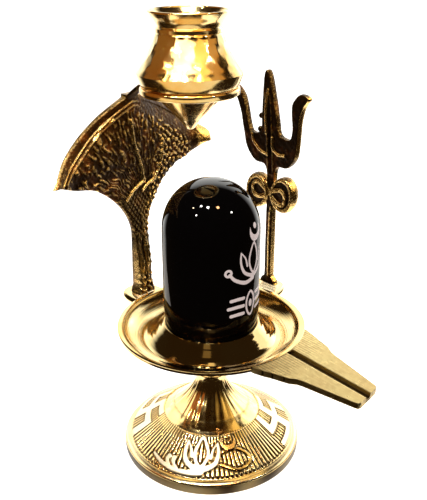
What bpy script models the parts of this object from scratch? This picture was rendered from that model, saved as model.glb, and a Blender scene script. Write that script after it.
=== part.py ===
"""A table-top shiva lingam: a black stone in a round brass dish on a turned foot.

A cast serpent hood stands behind the stone and holds a water pot above it in a ring,
and a cast trident stands at its right. The dish has a long channelled spout.

The frame: Z is up, the origin is on the axis of the foot and the dish at the floor,
the spout runs out towards -Y, the serpent stands at +Y and the trident at +X.
"""

import math

import bmesh
import bpy
from mathutils import Vector

MM = 0.001
SEAT_GAP = 0.3 * MM
SOFT_EDGE = 0.3 * MM

# Foot: a turned disc with a fluted skirt and a bell that narrows to the neck
FOOT_RADIUS = 31.3 * MM
FOOT_EDGE_HEIGHT = 4.4 * MM
FOOT_EDGE_WIDTH = 2.2 * MM
FOOT_EDGE_ROUNDING = 1.3 * MM
FOOT_CHAMFER = 0.5 * MM
SKIRT_RISE = 8.8 * MM
BELL_FOOT_RADIUS = 16.7 * MM
BELL_RISE = 14.8 * MM
NECK_RADIUS = 4.9 * MM
BELL_CURVE = 1.8
BELL_STEPS = 6
FLUTES = 110
FLUTE_DEPTH = 0.45 * MM
FLUTE_MARGIN = 0.6 * MM
FOOT_SEGMENTS = 55
BELL_FOOT_HEIGHT = FOOT_EDGE_HEIGHT + SKIRT_RISE
NECK_HEIGHT = BELL_FOOT_HEIGHT + BELL_RISE

# Dish: a shallow polished bowl with a flat lip, on a short flared stem
DISH_RADIUS = 32.0 * MM
DISH_RISE = 20.1 * MM
LIP_HEIGHT = NECK_HEIGHT + DISH_RISE
LIP_WIDTH = 2.3 * MM
LIP_THICKNESS = 1.7 * MM
BOWL_DEPTH = 4.7 * MM
BOWL_LOW_INSET = 8.6 * MM
BOWL_LOW_RADIUS = DISH_RADIUS - BOWL_LOW_INSET
BOWL_STEPS = 4
DISH_WALL = 2.0 * MM
STEM_RADIUS = 6.6 * MM
STEM_BELL_RADIUS = 11.4 * MM
STEM_BELL_HEIGHT = 5.4 * MM
COLLAR_WIDTH = 1.2 * MM
COLLAR_RISE = 0.7 * MM
COLLAR_FOOT_DROP = 0.2 * MM
SOCKET_DEPTH = 2.6 * MM
DISH_SEGMENTS = 52

# Spout: reaches are measured outwards from the dish's edge
SPOUT_REACH = 28.0 * MM
SPOUT_ROOT_HALF_WIDTH = 15.2 * MM
SPOUT_ROOT_OVERLAP = 1.5 * MM
SPOUT_EAR_REACH = 7.6 * MM
SPOUT_EAR_HALF_WIDTH = 11.7 * MM
SPOUT_WAIST_REACH = 10.8 * MM
SPOUT_WAIST_HALF_WIDTH = 9.7 * MM
SPOUT_TIP_HALF_WIDTH = 6.3 * MM
SPOUT_TIP_CORNER = 1.5 * MM
SPOUT_THICKNESS = 2.1 * MM
SPOUT_FALL = 0.172
SPOUT_SINK = 0.02 * MM
CHANNEL_WIDTH = 2.8 * MM
CHANNEL_DEPTH = 1.1 * MM

# Lugs of the dish, where the serpent and the trident stand
LUG_HALF_WIDTH = 7.2 * MM
LUG_BEYOND_SERPENT = 7.4 * MM
LUG_BEYOND_TRIDENT = 5.0 * MM
LUG_THICKNESS = 2.8 * MM
LUG_ROUNDING = 0.8 * MM
LUG_SQUARENESS = 0.7
LUG_SINK = 0.1 * MM
LUG_STEPS = 12

# Stone
STONE_RADIUS = 16.1 * MM
STONE_BASE_NARROWING = 0.9 * MM
STONE_RISE = 50.8 * MM
STONE_TOP = LIP_HEIGHT + STONE_RISE
STONE_DOME = 17.0 * MM
STONE_DOME_CURVE = 2.1
STONE_SWELL = 8.0 * MM
STONE_SEGMENTS = 42
STONE_DOME_STEPS = 8

# Serpent: a fan-shaped hood on a neck, with an arm and a ring for the pot
SERPENT_BEYOND_LIP = 2.5 * MM
SERPENT_PLANE = DISH_RADIUS + SERPENT_BEYOND_LIP
SERPENT_X = 2.6 * MM
HOOD_X = 1.2 * MM
HOOD_HALF_WIDTH = 38.6 * MM
HOOD_TIP_RISE = 50.1 * MM
HOOD_TIP_HEIGHT = LIP_HEIGHT + HOOD_TIP_RISE
HOOD_FAN_RISE = 23.2 * MM
HOOD_TOP = HOOD_TIP_HEIGHT + HOOD_FAN_RISE
HOOD_UPPER_CURVE = 1.15
HOOD_FULLER_CURVE = 1.4
HOOD_LOWER_CURVE = 0.62
HOOD_TIP_SAG = 1.5 * MM
HOOD_TIP_LOBE = 1.9 * MM
HOOD_TIP_LOBE_RISE = 8.0 * MM
HOOD_THICKNESS = 2.4 * MM
HOOD_BORDER = 0.7 * MM
HOOD_RIB = 0.5 * MM
HOOD_ROLL_BACK = 3.6 * MM
HOOD_TIP_FORWARD = 2.8 * MM
NECK_RISE = 23.9 * MM
NECK_TOP = LIP_HEIGHT + NECK_RISE
NECK_BLEND = 8.0 * MM
NECK_HALF_WIDTH = 3.3 * MM
NECK_THICKNESS = 5.2 * MM
PAD_HALF_WIDTH = 4.0 * MM
PAD_THICKNESS = 5.8 * MM
PAD_HEIGHT = 1.6 * MM
HOOD_LOWER_ROWS = 13
HOOD_UPPER_ROWS = 11
HOOD_COLUMNS = 12

# Pot, with its mouth above the lip of the dish
POT_X = 0.6 * MM
POT_Y = 8.8 * MM
POT_RISE = 101.4 * MM
POT_TOP = LIP_HEIGHT + POT_RISE
POT_MOUTH_RADIUS = 12.45 * MM
POT_NECK_RADIUS = 9.9 * MM
POT_MOUTH_HEIGHT = 5.0 * MM
POT_BAND_HEIGHT = 1.4 * MM
POT_BAND_RISE = 0.5 * MM
POT_BODY_HEIGHT = 11.9 * MM
POT_BODY_CURVE = 1.35
POT_RADIUS = 16.5 * MM
POT_SHOULDER_HEIGHT = 4.0 * MM
POT_SHOULDER_NARROWING = 1.4 * MM
POT_WALL = 0.9 * MM
POT_SPIGOT_HEIGHT = 0.7 * MM
POT_CONE_RADIUS = 6.4 * MM
POT_CONE_HEIGHT = 7.6 * MM
POT_DRIP_RADIUS = 1.2 * MM
POT_DRIP_LENGTH = 6.0 * MM
POT_SEGMENTS = 36
POT_NECK_LEVEL = POT_TOP - POT_MOUTH_HEIGHT
POT_BODY_TOP = POT_NECK_LEVEL - POT_BAND_HEIGHT
POT_EDGE_LEVEL = POT_BODY_TOP - POT_BODY_HEIGHT
POT_SEAT_LEVEL = POT_EDGE_LEVEL - POT_SHOULDER_HEIGHT
POT_SEAT_RADIUS = POT_RADIUS - POT_SHOULDER_NARROWING
RING_BAND = 2.1 * MM
RING_HEIGHT = 2.3 * MM
RING_BEYOND_SEAT = 0.5 * MM
RING_ROUNDING = 0.5 * MM
RING_SEGMENTS = 36
RING_TOP = POT_SEAT_LEVEL - SEAT_GAP
RING_OUTER = POT_SEAT_RADIUS + RING_BEYOND_SEAT
ARM_WIDTH = 5.6 * MM
ARM_THICKNESS = 3.2 * MM

# Trident with its small drum; its heights are measured from the crotch or the lip
TRIDENT_BEYOND_LIP = 5.0 * MM
TRIDENT_RADIUS = DISH_RADIUS + TRIDENT_BEYOND_LIP
TRIDENT_AZIMUTH = math.radians(2.3)
TRIDENT_TURN = math.radians(-7.7)
TRIDENT_HEAD_RISE = 45.9 * MM
TRIDENT_HEAD_HEIGHT = LIP_HEIGHT + TRIDENT_HEAD_RISE
TRIDENT_THICKNESS = 2.5 * MM
TRIDENT_SHAFT = 1.65 * MM
TRIDENT_PAD_HALF_WIDTH = 3.4 * MM
TRIDENT_BEND = 3.1 * MM
CROTCH_RISE = 11.4 * MM
CROTCH_HEIGHT = TRIDENT_HEAD_HEIGHT + CROTCH_RISE
SIDE_PRONG_RISE = 15.6 * MM
SIDE_TIP_HEIGHT = CROTCH_HEIGHT + SIDE_PRONG_RISE
MIDDLE_PRONG_RISE = 22.2 * MM
TRIDENT_TOP = CROTCH_HEIGHT + MIDDLE_PRONG_RISE
PRONG_HALF_SPAN = 13.0 * MM
PRONG_WIDTH = 2.7 * MM
PRONG_TIP_FLARE = 4.8 * MM
RIGHT_PRONG_EXTRA = 1.5 * MM
CENTRE_PRONG = 3.5 * MM
DRUM_RISE = 36.3 * MM
DRUM_HEIGHT = LIP_HEIGHT + DRUM_RISE
DRUM_LOBE_RADIUS = 5.4 * MM
DRUM_LOBE_HALF_HEIGHT = 6.6 * MM
DRUM_LOBE_OFFSET = 5.8 * MM
DRUM_THICKNESS = 3.8 * MM
DRUM_SEGMENTS = 20

# Materials: colour, roughness, metallic
BRASS = ((0.83, 0.61, 0.24, 1.0), 0.16, 1.0)
DARK_BRASS = ((0.27, 0.19, 0.08, 1.0), 0.45, 1.0)
BLACK_STONE = ((0.006, 0.006, 0.008, 1.0), 0.06, 0.0)


def clear_scene():
    for old in list(bpy.data.objects):
        bpy.data.objects.remove(old, do_unlink=True)


def finish_material(name, look):
    colour, roughness, metallic = look
    material = bpy.data.materials.new(name)
    material.use_nodes = True
    shader = material.node_tree.nodes["Principled BSDF"]
    shader.inputs["Base Color"].default_value = colour
    shader.inputs["Roughness"].default_value = roughness
    shader.inputs["Metallic"].default_value = metallic
    return material


def object_from(name, bm, material=None):
    """A scene object from a bmesh, with its faces turned outwards."""
    bmesh.ops.recalc_face_normals(bm, faces=bm.faces)
    if bm.calc_volume(signed=True) < 0:
        bmesh.ops.reverse_faces(bm, faces=bm.faces)
    mesh = bpy.data.meshes.new(name)
    bm.to_mesh(mesh)
    bm.free()
    mesh.shade_smooth()
    mesh.set_sharp_from_angle(angle=math.radians(35))
    obj = bpy.data.objects.new(name, mesh)
    bpy.context.scene.collection.objects.link(obj)
    if material:
        mesh.materials.append(material)
    return obj


def join_to(target, helper):
    """Fuses a helper solid into the target and keeps the helper as a hidden guide."""
    helper.hide_render = True
    helper.display_type = "WIRE"
    union = target.modifiers.new("Join " + helper.name, "BOOLEAN")
    union.operation = "UNION"
    union.solver = "EXACT"
    union.object = helper


def smooth_step(value, low, high):
    share = min(1.0, max(0.0, (value - low) / (high - low)))
    return share * share * (3.0 - 2.0 * share)


def evenly_spaced(points, count):
    """The polyline's points taken again at equal distances along it."""
    lengths = [0.0]
    for before, after in zip(points, points[1:]):
        lengths.append(lengths[-1] + math.dist(before, after))
    result = []
    place = 0
    for index in range(count):
        wanted = lengths[-1] * index / (count - 1)
        while place < len(points) - 2 and lengths[place + 1] < wanted:
            place += 1
        span = lengths[place + 1] - lengths[place]
        share = (wanted - lengths[place]) / span if span else 0.0
        before, after = points[place], points[place + 1]
        result.append(tuple(a + (b - a) * share for a, b in zip(before, after)))
    return result


def ring_of(bm, radius, height, segments, centre=(0.0, 0.0)):
    """One ring of points about a vertical axis, or a single point on the axis."""
    if radius <= 0.0:
        return [bm.verts.new((centre[0], centre[1], height))]
    ring = []
    for index in range(segments):
        angle = 2.0 * math.pi * index / segments
        x = centre[0] + radius * math.cos(angle)
        y = centre[1] + radius * math.sin(angle)
        ring.append(bm.verts.new((x, y, height)))
    return ring


def bridge(bm, one, other):
    """Faces between two closed rings, where one may hold a whole multiple of the other's points."""
    if len(one) > len(other):
        one, other = other, one
    if len(one) == 1:
        for here, following in zip(other, other[1:] + other[:1]):
            bm.faces.new((one[0], here, following))
        return
    step = len(other) // len(one)
    middle = step // 2
    for index, here in enumerate(one):
        following = one[(index + 1) % len(one)]
        fine = [other[(index * step + k) % len(other)] for k in range(step + 1)]
        if step == 1:
            bm.faces.new((here, following, fine[1], fine[0]))
            continue
        for k in range(middle):
            bm.faces.new((here, fine[k + 1], fine[k]))
        bm.faces.new((here, following, fine[middle]))
        for k in range(middle, step):
            bm.faces.new((following, fine[k + 1], fine[k]))


def turned(outline, segments, centre=(0.0, 0.0), closed=False):
    """A solid turned about a vertical axis from (radius, height) points.

    The outline starts and ends on the axis, or it is a closed loop beside it.
    """
    bm = bmesh.new()
    rings = [ring_of(bm, radius, height, segments, centre) for radius, height in outline]
    for one, other in zip(rings, rings[1:]):
        bridge(bm, one, other)
    if closed:
        bridge(bm, rings[-1], rings[0])
    return bm


def lofted(sections):
    """A closed solid through sections that hold equally many points."""
    bm = bmesh.new()
    rings = [[bm.verts.new(point) for point in section] for section in sections]
    for one, other in zip(rings, rings[1:]):
        bridge(bm, one, other)
    bm.faces.new(rings[0])
    bm.faces.new(rings[-1])
    return bm


def make_foot(material):
    edge_inner = FOOT_RADIUS - FOOT_EDGE_WIDTH
    bell_height = NECK_HEIGHT - BELL_FOOT_HEIGHT
    bm = bmesh.new()

    def coarse(radius, height):
        return ring_of(bm, radius, height, FOOT_SEGMENTS)

    rings = [coarse(0.0, NECK_HEIGHT)]
    for step in range(BELL_STEPS + 1):
        share = 1.0 - step / BELL_STEPS
        radius = NECK_RADIUS + (BELL_FOOT_RADIUS - NECK_RADIUS) * (1.0 - share) ** BELL_CURVE
        rings.append(coarse(radius, BELL_FOOT_HEIGHT + bell_height * share))

    def skirt_height(radius):
        share = (radius - BELL_FOOT_RADIUS) / (edge_inner - BELL_FOOT_RADIUS)
        return BELL_FOOT_HEIGHT + (FOOT_EDGE_HEIGHT - BELL_FOOT_HEIGHT) * share

    for radius in (BELL_FOOT_RADIUS + FLUTE_MARGIN, edge_inner - FLUTE_MARGIN):
        fluted = ring_of(bm, radius, skirt_height(radius), 2 * FLUTES)
        for vert in fluted[::2]:
            vert.co.z += FLUTE_DEPTH
        rings.append(fluted)

    rings.append(coarse(edge_inner, FOOT_EDGE_HEIGHT))
    rings.append(coarse(edge_inner + 0.45 * FOOT_EDGE_WIDTH, FOOT_EDGE_HEIGHT + 0.15 * FOOT_EDGE_ROUNDING))
    rounding = FOOT_EDGE_ROUNDING
    rings.append(coarse(edge_inner + 0.9 * FOOT_EDGE_WIDTH, FOOT_EDGE_HEIGHT - 0.4 * rounding))
    rings.append(coarse(FOOT_RADIUS, FOOT_EDGE_HEIGHT - rounding))
    rings.append(coarse(FOOT_RADIUS, FOOT_CHAMFER))
    rings.append(coarse(FOOT_RADIUS - FOOT_CHAMFER, 0.0))
    rings.append(coarse(0.0, 0.0))
    for one, other in zip(rings, rings[1:]):
        bridge(bm, one, other)
    return object_from("base_foot", bm, material)


def stone_base_radius():
    return STONE_RADIUS - STONE_BASE_NARROWING


def dish_outline():
    """(radius, height) from the socket's middle over the bowl and lip to the stem's underside."""
    bowl_low = LIP_HEIGHT - BOWL_DEPTH
    collar_inner = stone_base_radius() + SEAT_GAP
    collar_outer = collar_inner + COLLAR_WIDTH
    collar_top = LIP_HEIGHT + COLLAR_RISE
    collar_foot = LIP_HEIGHT - COLLAR_FOOT_DROP
    bowl_outer = DISH_RADIUS - LIP_WIDTH
    floor = LIP_HEIGHT - SOCKET_DEPTH
    stem_low = NECK_HEIGHT + SEAT_GAP
    points = [(0.0, floor), (collar_inner, floor), (collar_inner, collar_top - SOFT_EDGE)]
    points += [(collar_inner + SOFT_EDGE, collar_top), (collar_outer, collar_foot)]
    for step in range(1, BOWL_STEPS + 1):
        share = step / BOWL_STEPS
        dip = math.sin(share * math.pi / 2.0) ** 1.2
        radius = collar_outer + (BOWL_LOW_RADIUS - collar_outer) * share
        points.append((radius, collar_foot + (bowl_low - collar_foot) * dip))
    for step in range(1, BOWL_STEPS):
        angle = 0.5 * math.pi * step / BOWL_STEPS
        radius = BOWL_LOW_RADIUS + (bowl_outer - BOWL_LOW_RADIUS) * math.sin(angle)
        points.append((radius, bowl_low + BOWL_DEPTH * (1.0 - math.cos(angle))))
    points += [(bowl_outer, LIP_HEIGHT), (DISH_RADIUS - SOFT_EDGE, LIP_HEIGHT)]
    points += [(DISH_RADIUS, LIP_HEIGHT - SOFT_EDGE)]
    points.append((DISH_RADIUS - SOFT_EDGE, LIP_HEIGHT - LIP_THICKNESS))
    middle = 0.5 * (DISH_RADIUS + BOWL_LOW_RADIUS)
    points.append((middle, LIP_HEIGHT - LIP_THICKNESS - 0.9 * DISH_WALL))
    points.append((BOWL_LOW_RADIUS, bowl_low - DISH_WALL))
    points.append((STEM_BELL_RADIUS, stem_low + STEM_BELL_HEIGHT))
    points.append((0.5 * (STEM_BELL_RADIUS + STEM_RADIUS), stem_low + 0.5 * STEM_BELL_HEIGHT))
    points.append((STEM_RADIUS, stem_low + 0.2 * STEM_BELL_HEIGHT))
    points += [(NECK_RADIUS, stem_low), (0.0, stem_low)]
    return points


def spout_top(reach):
    return LIP_HEIGHT - SPOUT_SINK - SPOUT_FALL * max(0.0, reach - DISH_RADIUS)


def make_spout():
    """The spout's solid: sections across it, those at the root bent round the dish's lip."""
    between = 0.5 * (SPOUT_ROOT_HALF_WIDTH + SPOUT_EAR_HALF_WIDTH)
    plan = (
        (-SPOUT_ROOT_OVERLAP, SPOUT_ROOT_HALF_WIDTH, 1.0),
        (0.05 * SPOUT_EAR_REACH, SPOUT_ROOT_HALF_WIDTH, 1.0),
        (0.55 * SPOUT_EAR_REACH, between, 0.6),
        (SPOUT_EAR_REACH, SPOUT_EAR_HALF_WIDTH, 0.15),
        (SPOUT_WAIST_REACH, SPOUT_WAIST_HALF_WIDTH, 0.0),
        (SPOUT_REACH - SPOUT_TIP_CORNER, SPOUT_TIP_HALF_WIDTH, 0.0),
        (SPOUT_REACH, SPOUT_TIP_HALF_WIDTH - SPOUT_TIP_CORNER, 0.0),
    )
    groove = 0.5 * CHANNEL_WIDTH
    sections = []
    for beyond, half, bend in plan:
        reach = DISH_RADIUS + beyond

        def corner(across, drop):
            sag = DISH_RADIUS - math.sqrt(DISH_RADIUS**2 - across**2)
            return (across, -(reach - bend * sag), spout_top(reach) - drop)

        section = [corner(-half, SPOUT_THICKNESS), corner(-half, 0.0), corner(-groove, 0.0)]
        section += [corner(-groove, CHANNEL_DEPTH), corner(groove, CHANNEL_DEPTH)]
        section += [corner(groove, 0.0), corner(half, 0.0), corner(half, SPOUT_THICKNESS)]
        sections.append(section)
    return object_from("spout_guide", lofted(sections))


def make_lug(name, azimuth, end):
    """A rounded tab that stands out beyond the lip, with softened edges."""
    top = LIP_HEIGHT - LUG_SINK
    root = DISH_RADIUS - 0.95 * LIP_WIDTH
    reach = end - root
    along = Vector((math.cos(azimuth), math.sin(azimuth), 0.0))
    across = Vector((-math.sin(azimuth), math.cos(azimuth), 0.0))
    levels = (
        (top - LUG_THICKNESS, LUG_ROUNDING),
        (top - LUG_THICKNESS + LUG_ROUNDING, 0.0),
        (top - LUG_ROUNDING, 0.0),
        (top, LUG_ROUNDING),
    )
    sections = []
    for height, inset in levels:
        section = []
        for step in range(LUG_STEPS + 1):
            angle = math.pi * step / LUG_STEPS
            side = math.copysign(abs(math.cos(angle)) ** LUG_SQUARENESS, math.cos(angle))
            out = abs(math.sin(angle)) ** LUG_SQUARENESS
            point = along * (root + (reach - inset) * out) + across * (LUG_HALF_WIDTH - inset) * side
            section.append((point.x, point.y, height))
        sections.append(section)
    return object_from(name, lofted(sections))


def serpent_azimuth():
    return math.atan2(SERPENT_PLANE, SERPENT_X)


def make_dish(material):
    dish = object_from("yoni_dish", turned(dish_outline(), DISH_SEGMENTS), material)
    join_to(dish, make_spout())
    serpent_radius = math.hypot(SERPENT_PLANE, SERPENT_X)
    join_to(dish, make_lug("serpent_lug_guide", serpent_azimuth(), serpent_radius + LUG_BEYOND_SERPENT))
    join_to(dish, make_lug("trident_lug_guide", TRIDENT_AZIMUTH, TRIDENT_RADIUS + LUG_BEYOND_TRIDENT))
    return dish


def make_stone(material):
    low = LIP_HEIGHT - SOCKET_DEPTH + SEAT_GAP
    dome_low = STONE_TOP - STONE_DOME
    points = [(0.0, STONE_TOP)]
    for step in range(1, STONE_DOME_STEPS + 1):
        angle = 0.5 * math.pi * step / STONE_DOME_STEPS
        out = math.sin(angle) ** (2.0 / STONE_DOME_CURVE)
        up = max(0.0, math.cos(angle)) ** (2.0 / STONE_DOME_CURVE)
        points.append((STONE_RADIUS * out, dome_low + STONE_DOME * up))
    points.append((STONE_RADIUS, low + STONE_SWELL))
    points.append((STONE_RADIUS - 0.4 * STONE_BASE_NARROWING, low + 0.6 * STONE_SWELL))
    points.append((stone_base_radius(), low + SOFT_EDGE))
    points.append((stone_base_radius() - SOFT_EDGE, low))
    points.append((0.0, low))
    return object_from("lingam_stone", turned(points, STONE_SEGMENTS), material)


def fan_half_width(height, curve):
    """Half the width of the fan above its tips, on the side whose rim has this curve."""
    up = (height - HOOD_TIP_HEIGHT) / HOOD_FAN_RISE
    out = HOOD_HALF_WIDTH * max(0.0, 1.0 - up**curve) ** (1.0 / curve)
    return max(0.5 * ARM_WIDTH, out)


def tip_lobe(height):
    """How much fuller the right tip is a little above its lowest point, where its rim curls over."""
    up = (height - HOOD_TIP_HEIGHT) / HOOD_TIP_LOBE_RISE
    return HOOD_TIP_LOBE * max(0.0, math.sin(math.pi * min(1.0, up)))


def hood_rim():
    """(height, left half, right half) up the serpent, from the pad over neck and tips to the top."""
    low = post_foot()
    pad = [(low, PAD_HALF_WIDTH), (low + PAD_HEIGHT, 0.9 * PAD_HALF_WIDTH)]
    pad.append((low + 2.0 * PAD_HEIGHT, NECK_HALF_WIDTH))
    span = HOOD_HALF_WIDTH - NECK_HALF_WIDTH
    rise = HOOD_TIP_HEIGHT - NECK_TOP
    fine = 60
    lower = []
    upper = []
    for step in range(fine + 1):
        share = step / fine
        fall = rise * (1.0 - share**HOOD_LOWER_CURVE) ** (1.0 / HOOD_LOWER_CURVE)
        fall += HOOD_TIP_SAG * math.sin(math.pi * smooth_step(share, 0.4, 1.0))
        lower.append((HOOD_TIP_HEIGHT - fall, NECK_HALF_WIDTH + span * share))
        up = math.sin(0.5 * math.pi * share) ** (2.0 / HOOD_UPPER_CURVE)
        height = HOOD_TIP_HEIGHT + HOOD_FAN_RISE * up
        upper.append((height, fan_half_width(height, HOOD_UPPER_CURVE)))
    rows = [(height, half, half) for height, half in pad + evenly_spaced(lower, HOOD_LOWER_ROWS)]
    for height, half in evenly_spaced(upper, HOOD_UPPER_ROWS)[1:]:
        right = min(HOOD_HALF_WIDTH, fan_half_width(height, HOOD_FULLER_CURVE) + tip_lobe(height))
        rows.append((height, half, right))
    return rows


def post_foot():
    return LIP_HEIGHT - LUG_SINK + SEAT_GAP


def hood_bow(side, height):
    """How far the hood's middle surface stands behind its plane: the rim rolls back, the tips forward."""
    up = (height - HOOD_TIP_HEIGHT) / HOOD_FAN_RISE
    out = abs(side) / HOOD_HALF_WIDTH
    reach = (out**HOOD_UPPER_CURVE + max(0.0, up) ** HOOD_UPPER_CURVE) ** (1.0 / HOOD_UPPER_CURVE)
    back = HOOD_ROLL_BACK * reach**2 * smooth_step(up, 0.05, 0.6) * (0.4 + 0.6 * smooth_step(out, 0.0, 0.4))
    curl = smooth_step(out, 0.72, 1.0) * (1.0 - smooth_step(up, 0.0, 0.4))
    return back * (1.0 - curl) - HOOD_TIP_FORWARD * curl


def hood_relief(share, height):
    """The border along the rim and the three ribs of the fan, as a height above the face."""
    if height < NECK_TOP:
        return HOOD_RIB if abs(share) < 0.05 else 0.0
    border = HOOD_BORDER * smooth_step(abs(share), 0.8, 0.9)
    rib = HOOD_RIB if min(abs(share), abs(abs(share) - 0.5)) < 0.05 else 0.0
    return max(border, rib)


def make_hood(material):
    foot = post_foot()
    sections = []
    for height, left_half, right_half in hood_rim():
        lift = smooth_step(height, foot, HOOD_TIP_HEIGHT)
        middle = SERPENT_X + (HOOD_X - SERPENT_X) * lift
        if height < foot + 1.5 * PAD_HEIGHT:
            thickness = PAD_THICKNESS
        else:
            slim = smooth_step(height, foot + PAD_HEIGHT, NECK_TOP + NECK_BLEND)
            thickness = NECK_THICKNESS + (HOOD_THICKNESS - NECK_THICKNESS) * slim
        front = []
        back = []
        for column in range(HOOD_COLUMNS + 1):
            share = -1.0 + 2.0 * column / HOOD_COLUMNS
            side = share * (left_half if share < 0.0 else right_half)
            rounding = 1.0 - 0.4 * abs(share) ** 6
            y = SERPENT_PLANE + hood_bow(side, height)
            depth = 0.5 * thickness * rounding
            front.append((middle + side, y - depth - hood_relief(share, height), height))
            back.append((middle + side, y + depth, height))
        sections.append(front + back[::-1])
    hood = object_from("serpent_hood", lofted(sections), material)
    join_to(hood, make_ring())
    join_to(hood, make_arm())
    return hood


def make_ring():
    low = RING_TOP - RING_HEIGHT
    inner = RING_OUTER - RING_BAND
    outline = (
        (RING_OUTER - RING_ROUNDING, RING_TOP),
        (RING_OUTER, RING_TOP - RING_ROUNDING),
        (RING_OUTER, low + RING_ROUNDING),
        (RING_OUTER - RING_ROUNDING, low),
        (inner, low),
        (inner, RING_TOP),
    )
    return object_from("ring_guide", turned(outline, RING_SEGMENTS, (POT_X, POT_Y), closed=True))


def make_arm():
    """The short arm that bends from the top of the hood to the back of the ring."""
    height = RING_TOP - 0.5 * RING_HEIGHT
    start = SERPENT_PLANE + hood_bow(0.0, HOOD_TOP) + 0.1 * HOOD_THICKNESS
    end = POT_Y + RING_OUTER - 0.6 * RING_BAND
    low = HOOD_TOP - 0.6 * ARM_THICKNESS
    route = (
        (start, low, 1.0),
        (start + 0.5 * (end - start), low + 0.4 * (height - low), 0.9),
        (end, height, 0.62),
    )
    sections = []
    for y, z, share in route:
        half = 0.5 * ARM_WIDTH * share
        deep = 0.5 * min(ARM_THICKNESS * share, RING_HEIGHT)
        middle = HOOD_X + (POT_X - HOOD_X) * (start - y) / (start - end)
        corners = ((-half, -deep), (half, -deep), (half, deep), (-half, deep))
        sections.append([(middle + x, y, z + up) for x, up in corners])
    return object_from("arm_guide", lofted(sections))


def pot_outline():
    """(radius, height) of the pot's outside, from the lip down to the tip of the drip tube."""
    band = POT_NECK_RADIUS + POT_BAND_RISE
    seat = POT_SEAT_LEVEL
    cone_low = seat - POT_CONE_HEIGHT
    points = [(POT_MOUTH_RADIUS - 0.5 * POT_WALL, POT_TOP), (POT_MOUTH_RADIUS, POT_TOP - SOFT_EDGE)]
    middle = POT_NECK_RADIUS + 0.35 * (POT_MOUTH_RADIUS - POT_NECK_RADIUS)
    points.append((middle, POT_TOP - 0.45 * POT_MOUTH_HEIGHT))
    points.append((POT_NECK_RADIUS, POT_NECK_LEVEL + SOFT_EDGE))
    points += [(band, POT_NECK_LEVEL - SOFT_EDGE), (band, POT_BODY_TOP)]
    steps = 4
    for step in range(1, steps + 1):
        share = step / steps
        radius = band + (POT_RADIUS - band) * share**POT_BODY_CURVE
        points.append((radius, POT_BODY_TOP - POT_BODY_HEIGHT * share))
    points.append((POT_RADIUS - 0.35 * POT_SHOULDER_NARROWING, POT_EDGE_LEVEL - 0.55 * POT_SHOULDER_HEIGHT))
    points.append((POT_SEAT_RADIUS, seat))
    spigot = RING_OUTER - RING_BAND - 1.3 * SEAT_GAP
    points += [(spigot, seat), (spigot, seat - POT_SPIGOT_HEIGHT), (POT_CONE_RADIUS, cone_low)]
    points.append((0.45 * (POT_CONE_RADIUS + POT_DRIP_RADIUS), cone_low - 0.5 * POT_DRIP_LENGTH))
    points.append((POT_DRIP_RADIUS, cone_low - POT_DRIP_LENGTH))
    points.append((0.0, cone_low - POT_DRIP_LENGTH))
    return points


def pot_hollow():
    """(radius, height) of the pot's inside, from its lowest point up to the lip."""
    floor = POT_SEAT_LEVEL - POT_CONE_HEIGHT + 1.6 * POT_WALL
    flare = 0.35 * (POT_MOUTH_RADIUS - POT_NECK_RADIUS)
    points = [(0.0, floor), (POT_CONE_RADIUS - 1.3 * POT_WALL, floor + 0.4 * POT_WALL)]
    points.append((POT_SEAT_RADIUS - RING_BAND - 1.5 * POT_WALL, POT_SEAT_LEVEL + 0.3 * POT_WALL))
    points.append((POT_SEAT_RADIUS - 0.8 * POT_WALL, POT_SEAT_LEVEL + 1.2 * POT_WALL))
    points.append((POT_RADIUS - 1.25 * POT_WALL, POT_EDGE_LEVEL + 0.2 * POT_WALL))
    points.append((POT_NECK_RADIUS - POT_WALL, POT_BODY_TOP - SOFT_EDGE))
    points.append((POT_NECK_RADIUS - POT_WALL, POT_NECK_LEVEL + SOFT_EDGE))
    points.append((POT_NECK_RADIUS + flare - POT_WALL, POT_TOP - 0.4 * POT_MOUTH_HEIGHT))
    points.append((POT_MOUTH_RADIUS - POT_WALL, POT_TOP - SOFT_EDGE))
    return points


def make_pot(material):
    outline = pot_hollow() + pot_outline()
    return object_from("water_pot", turned(outline, POT_SEGMENTS, (POT_X, POT_Y)), material)


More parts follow.
